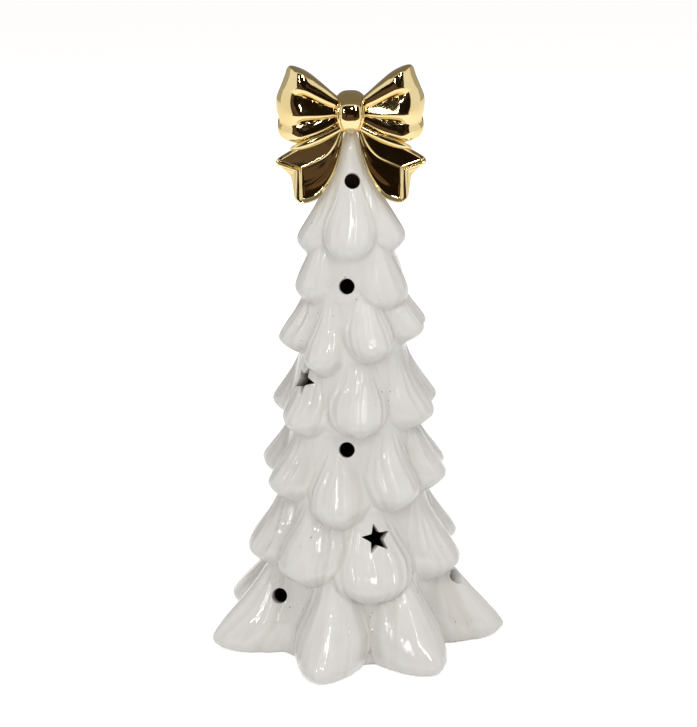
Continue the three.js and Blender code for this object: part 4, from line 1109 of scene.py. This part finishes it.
def lead_frame(low, high, finish):
    """The diode's anvil with its reflector cup, and the slimmer post beside it, inside the lens."""
    x, y, _ = middle_of(low, high)
    cup = [(0.2, 0.3), (0.55, 0.3), (0.72, 0.5), (0.8, 2.6), (0.98, 3.4), (1.05, 3.9), (1.0, 3.95), (0.9, 3.9),
           (0.5, 3.35), (0.15, 3.35)]
    frame_piece = add_mesh("lead_frame", *skin(ringed(cup, 28) * MM + (x - 0.00035, y, low.z)))
    post = [(0.1, 0.3), (0.3, 0.3), (0.32, 0.5), (0.32, 3.6), (0.26, 3.75), (0.08, 3.78)]
    other = add_mesh("post", *skin(ringed(post, 16) * MM + (x + 0.00125, y, low.z)))
    combine(frame_piece, other, "UNION")
    dress(frame_piece, finish)
    return smooth(frame_piece, 35)


def set_down(piece, body, slot, *nodes):
    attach(piece, body)
    if nodes:
        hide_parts(*nodes)


class TREE_OT_button_cells(bpy.types.Operator):
    """Builds the three button cells in a row and the coil that presses them together"""
    bl_idname = "tree.button_cells"
    bl_label = "Button cells"

    def execute(self, context):
        low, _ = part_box("cell_1")
        _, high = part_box("cell_3")
        axis = (low.x, *middle_of(low, high)[1:])
        cell = button_cell()
        cells = in_a_row("button_cells", cell, 3, axis, ((high.x - low.x) / 3, 0, 0), (0, math.pi / 2, 0), 1.5,
                         cell_finish())
        drop(cell)
        set_down(cells, "light", "nickel_plate", "cell_1", "cell_2", "cell_3")
        nickel = plated_finish("spring_wire", (0.66, 0.65, 0.63), 0.24, (0.3, 1, 1))
        set_down(coil_spring(*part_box("contact_coil"), axis, nickel), "light", "nickel_plate", "contact_coil")
        return {"FINISHED"}


class TREE_OT_screws(bpy.types.Operator):
    """Builds the cover's two screws and the battery door's screw"""
    bl_idname = "tree.screws"
    bl_label = "Screws"

    def execute(self, context):
        finish = plated_finish("screw_plate", (0.60, 0.59, 0.57), 0.3)
        screw = cross_screw()
        places = []
        for node in ("cover_screw_1", "cover_screw_2"):
            low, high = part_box(node)
            places.append(Vector((*middle_of(low, high)[:2], high.z)))
        pair = in_a_row("cover_screws", screw, 2, places[0], places[1] - places[0], (math.pi, 0, 0), 1.4,
                        finish, 5)
        set_down(pair, "light", "nickel_plate", "cover_screw_1", "cover_screw_2")
        # The door's screw is the same with half the thread's length
        head, thread_end, shorter = 0.0012, 0.0052, 0.002
        for point in screw.data.vertices:
            if point.co.z > thread_end:
                point.co.z -= shorter
            elif point.co.z > head:
                point.co.z = head + (point.co.z - head) * 0.5
        screw.data.update()
        low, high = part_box("door_screw")
        one = in_a_row("door_screws", screw, 1, (*middle_of(low, high)[:2], low.z), (0, 0, 0), (0, 0, 0), 1.0,
                       finish, 8)
        set_down(one, "door", "nickel_plate", "door_screw")
        drop(screw)
        return {"FINISHED"}


class TREE_OT_battery_light(bpy.types.Operator):
    """Finishes the plug-in battery light's moulded pieces, its board, its diode and its contacts"""
    bl_idname = "tree.battery_light"
    bl_label = "Battery light"

    def execute(self, context):
        plastic = moulded_finish("white_plastic", (0.80, 0.80, 0.78), 0.42, 1400)
        rubber = moulded_finish("silicone", (0.66, 0.66, 0.64), 0.6, 900)
        resin = moulded_finish("black_resin", (0.015, 0.015, 0.017), 0.28, 600)
        black = moulded_finish("black_plastic", (0.025, 0.025, 0.027), 0.5, 1600)
        lens = moulded_finish("clear_lens", (0.93, 0.92, 0.86), 0.06, 500, Transmission_Weight=0.8, IOR=1.53)
        tinned = plated_finish("tinned_wire", (0.74, 0.74, 0.74), 0.3, (1, 1, 0.1))
        nickel = plated_finish("nickel_plate", (0.66, 0.65, 0.63), 0.26)
        for name, node, look, edge, body, slot in (
                ("moulded_housing", "light_housing", plastic, 0.0002, "light", "white_plastic"),
                ("moulded_cover", "housing_cover", plastic, 0.0002, "light", "white_plastic"),
                ("sleeve_collar", "silicone_collar", rubber, 0.00015, "light", "silicone"),
                ("moulded_door", "battery_door", plastic, 0.0002, "door", "white_plastic"),
                ("thumb_piece", "switch_knob", black, 0.0001, "switch", "black_plastic")):
            set_down(softened(name, node, look, edge), body, slot, node)
        set_down(led_lens(*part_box("led_lens"), lens), "light", "lens", "led_lens")
        set_down(lead_frame(*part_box("led_lens"), tinned), "light", "tinned_wire")
        looks = {
            board_finish(): ["circuit_board"], tinned: ["led_lead_positive", "led_lead_negative"],
            resin: ["resistor", "controller_chip"], black: ["switch_body"],
            nickel: ["coil_contact", "plate_contact"],
        }
        for look, names in looks.items():
            for name in names:
                dress(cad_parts[name], look)
        return {"FINISHED"}


# The stage

FOCAL_LENGTH = 106.7
CAMERA_ASIDE = -0.0021
CAMERA_ROLL = math.radians(-0.6)


def add_lamp(name, place, target, size, watts, colour=(1, 1, 1)):
    lamp = bpy.data.lights.new(name, "AREA")
    lamp.shape = "RECTANGLE"
    lamp.size, lamp.size_y = size
    lamp.energy = watts
    lamp.color = colour
    holder = bpy.data.objects.new(name, lamp)
    bpy.context.scene.collection.objects.link(holder)
    holder.location = place
    aim = Vector(target) - Vector(place)
    holder.rotation_euler = aim.to_track_quat("-Z", "Y").to_euler()
    return holder


def flag(name, corners, level):
    """A card that only mirrors see, for the dark and grey parts of their reflections."""
    card = add_mesh(name, corners, [[0, 1, 2, 3]])
    material = bpy.data.materials.new(name)
    shading = Shading(material)
    glow = shading.add("ShaderNodeEmission")
    glow.inputs["Color"].default_value = (*level, 1)
    shading.join(glow.outputs[0], shading.nodes["Material Output"].inputs["Surface"])
    dress(card, material)
    card.visible_camera = False
    card.visible_diffuse = False
    card.visible_shadow = False
    card.visible_transmission = False


def upright(left, right, y, low, high):
    """The corners of a card that stands across the view."""
    return [(left, y, low), (right, y, low), (right, y, high), (left, y, high)]


class TREE_OT_stage(bpy.types.Operator):
    """Sets the pale floor, the soft lamps and the camera"""
    bl_idname = "tree.stage"
    bl_label = "Stage"

    def execute(self, context):
        scene = context.scene
        sizes = scene.stage_sizes
        scene.view_settings.view_transform = "Standard"

        # The world is white where it is seen, mirrored or not, and otherwise a weaker, warmer light
        world = bpy.data.worlds.new("studio")
        scene.world = world
        shading = Shading(world)
        rays = shading.add("ShaderNodeLightPath").outputs
        seen = shading.sum(rays["Is Camera Ray"], rays["Is Transmission Ray"], "MAXIMUM")
        seen = shading.sum(seen, rays["Is Glossy Ray"], "MAXIMUM")
        background = shading.nodes["Background"].inputs
        shading.join(shading.mix(seen, (1.0, 0.965, 0.93), (1, 1, 1)), background["Color"])
        shading.join(shading.ramp(seen, 0, 1, sizes.sky, 1.0), background["Strength"])

        size = 4.0
        floor = add_mesh("floor", [(-size, -size, 0), (size, -size, 0), (size, size, 0), (-size, size, 0)],
                         [[0, 1, 2, 3]])
        pale = Finish("pale_floor")
        pale.set(Base_Color=(0.88, 0.88, 0.88, 1), Roughness=0.9, Specular_IOR_Level=0.1,
                 Emission_Color=(1, 1, 1, 1))
        rays = pale.add("ShaderNodeLightPath").outputs
        seen = pale.sum(rays["Is Camera Ray"], rays["Is Glossy Ray"], "MAXIMUM")
        pale.join(pale.sum(seen, 0.62, "MULTIPLY"), pale.shader.inputs["Emission Strength"])
        dress(floor, pale.material)

        # What the gold mirrors: a dark room in front with a few dim shapes in it, and grey elsewhere
        near, ahead, far, wide, high = -1.28, -1.6, 4.0, 3.0, 2.4
        flag("dark_wall", upright(-2.0, 2.0, ahead, 0, high), (0.012, 0.007, 0.004))
        flag("dark_ground", [(-2.0, ahead, 0.003), (2.0, ahead, 0.003), (0.75, -0.5, 0.003),
                             (-0.75, -0.5, 0.003)], (0.10, 0.065, 0.038))
        for left, right, low, top, level in (
                (-1.5, -0.42, 0.08, 0.72, (0.115, 0.075, 0.05)), (-0.24, 0.16, 0.02, 0.5, (0.14, 0.08, 0.05)),
                (-1.1, -0.9, 0.25, 0.95, (0.03, 0.015, 0.008)), (0.62, 0.95, 0.2, 0.42, (0.10, 0.05, 0.025)),
                (1.1, 1.5, 0.5, 0.85, (0.09, 0.055, 0.03)), (-0.75, -0.55, 0.9, 1.1, (0.10, 0.06, 0.03))):
            flag("room", upright(left, right, -1.58, low, top), level)
        grey = (0.23, 0.21, 0.185)
        flag("ceiling", [(-wide, near, high), (wide, near, high), (wide, far, high), (-wide, far, high)], grey)
        flag("back_wall", upright(-wide, wide, far, 0, high), grey)
        for x in (-wide, wide):
            flag("side_wall", [(x, 0.3, 0), (x, far, 0), (x, far, high), (x, 0.3, high)], (0.5, 0.49, 0.47))

        target = (AXIS[0], AXIS[1], 0.13)
        k = sizes.lamps
        add_lamp("key", (0.34, -0.90, 1.10), target, (0.05, 0.55), 3.2 * k)
        add_lamp("side_strip", (-0.62, -1.0, 0.80), target, (0.03, 0.34), 1.4 * k)
        add_lamp("spark", (0.05, -1.25, 1.25), target, (0.05, 0.05), 0.6 * k)
        soft = [add_lamp("top", (0.15, -0.1, 1.5), target, (0.7, 0.7), 4.0 * k),
                add_lamp("front", (-0.1, -1.45, 0.34), target, (1.3, 1.0), 3.9 * k),
                add_lamp("back", (0.3, 1.4, 0.7), target, (1.2, 1.0), 2.6 * k)]
        for lamp in soft:
            lamp.visible_glossy = False

        lens = bpy.data.cameras.new("camera")
        lens.lens = FOCAL_LENGTH
        lens.sensor_width = 36
        lens.clip_start = 0.01
        camera = bpy.data.objects.new("camera", lens)
        scene.collection.objects.link(camera)
        place = Matrix.Translation((AXIS[0] + CAMERA_ASIDE, AXIS[1] - sizes.distance, sizes.height))
        tilt = Matrix.Rotation(math.pi / 2 - sizes.pitch, 4, "X")
        roll = Matrix.Rotation(CAMERA_ROLL, 4, "Z")
        camera.matrix_world = place @ tilt @ roll
        scene.camera = camera
        return {"FINISHED"}


class TREE_PT_panel(bpy.types.Panel):
    """Lists the steps that build the tree"""
    bl_idname = "TREE_PT_panel"
    bl_label = "Glazed tree"
    bl_space_type = "VIEW_3D"
    bl_region_type = "UI"
    bl_category = "Tree"

    def draw(self, context):
        scene = context.scene
        for group in (scene.tree_sizes, scene.bow_sizes, scene.stage_sizes):
            box = self.layout.box()
            for name in group.__annotations__:
                box.prop(group, name)
        for operator in OPERATORS:
            self.layout.operator(operator.bl_idname)


OPERATORS = (TREE_OT_stage, TREE_OT_cast_tree, TREE_OT_gilded_bow, TREE_OT_battery_light, TREE_OT_button_cells,
             TREE_OT_screws)
CLASSES = (TreeSizes, BowSizes, StageSizes, *OPERATORS, TREE_PT_panel)


def register():
    for item in CLASSES:
        bpy.utils.register_class(item)
    bpy.types.Scene.tree_sizes = PointerProperty(type=TreeSizes)
    bpy.types.Scene.bow_sizes = PointerProperty(type=BowSizes)
    bpy.types.Scene.stage_sizes = PointerProperty(type=StageSizes)


def unregister():
    del bpy.types.Scene.stage_sizes
    del bpy.types.Scene.bow_sizes
    del bpy.types.Scene.tree_sizes
    for item in reversed(CLASSES):
        bpy.utils.unregister_class(item)


def main():
    register()
    bpy.ops.tree.stage()
    bpy.ops.tree.cast_tree()
    bpy.ops.tree.gilded_bow()
    bpy.ops.tree.battery_light()
    bpy.ops.tree.button_cells()
    bpy.ops.tree.screws()
    bpy.context.view_layer.update()


if __name__ == "__main__":
    main()
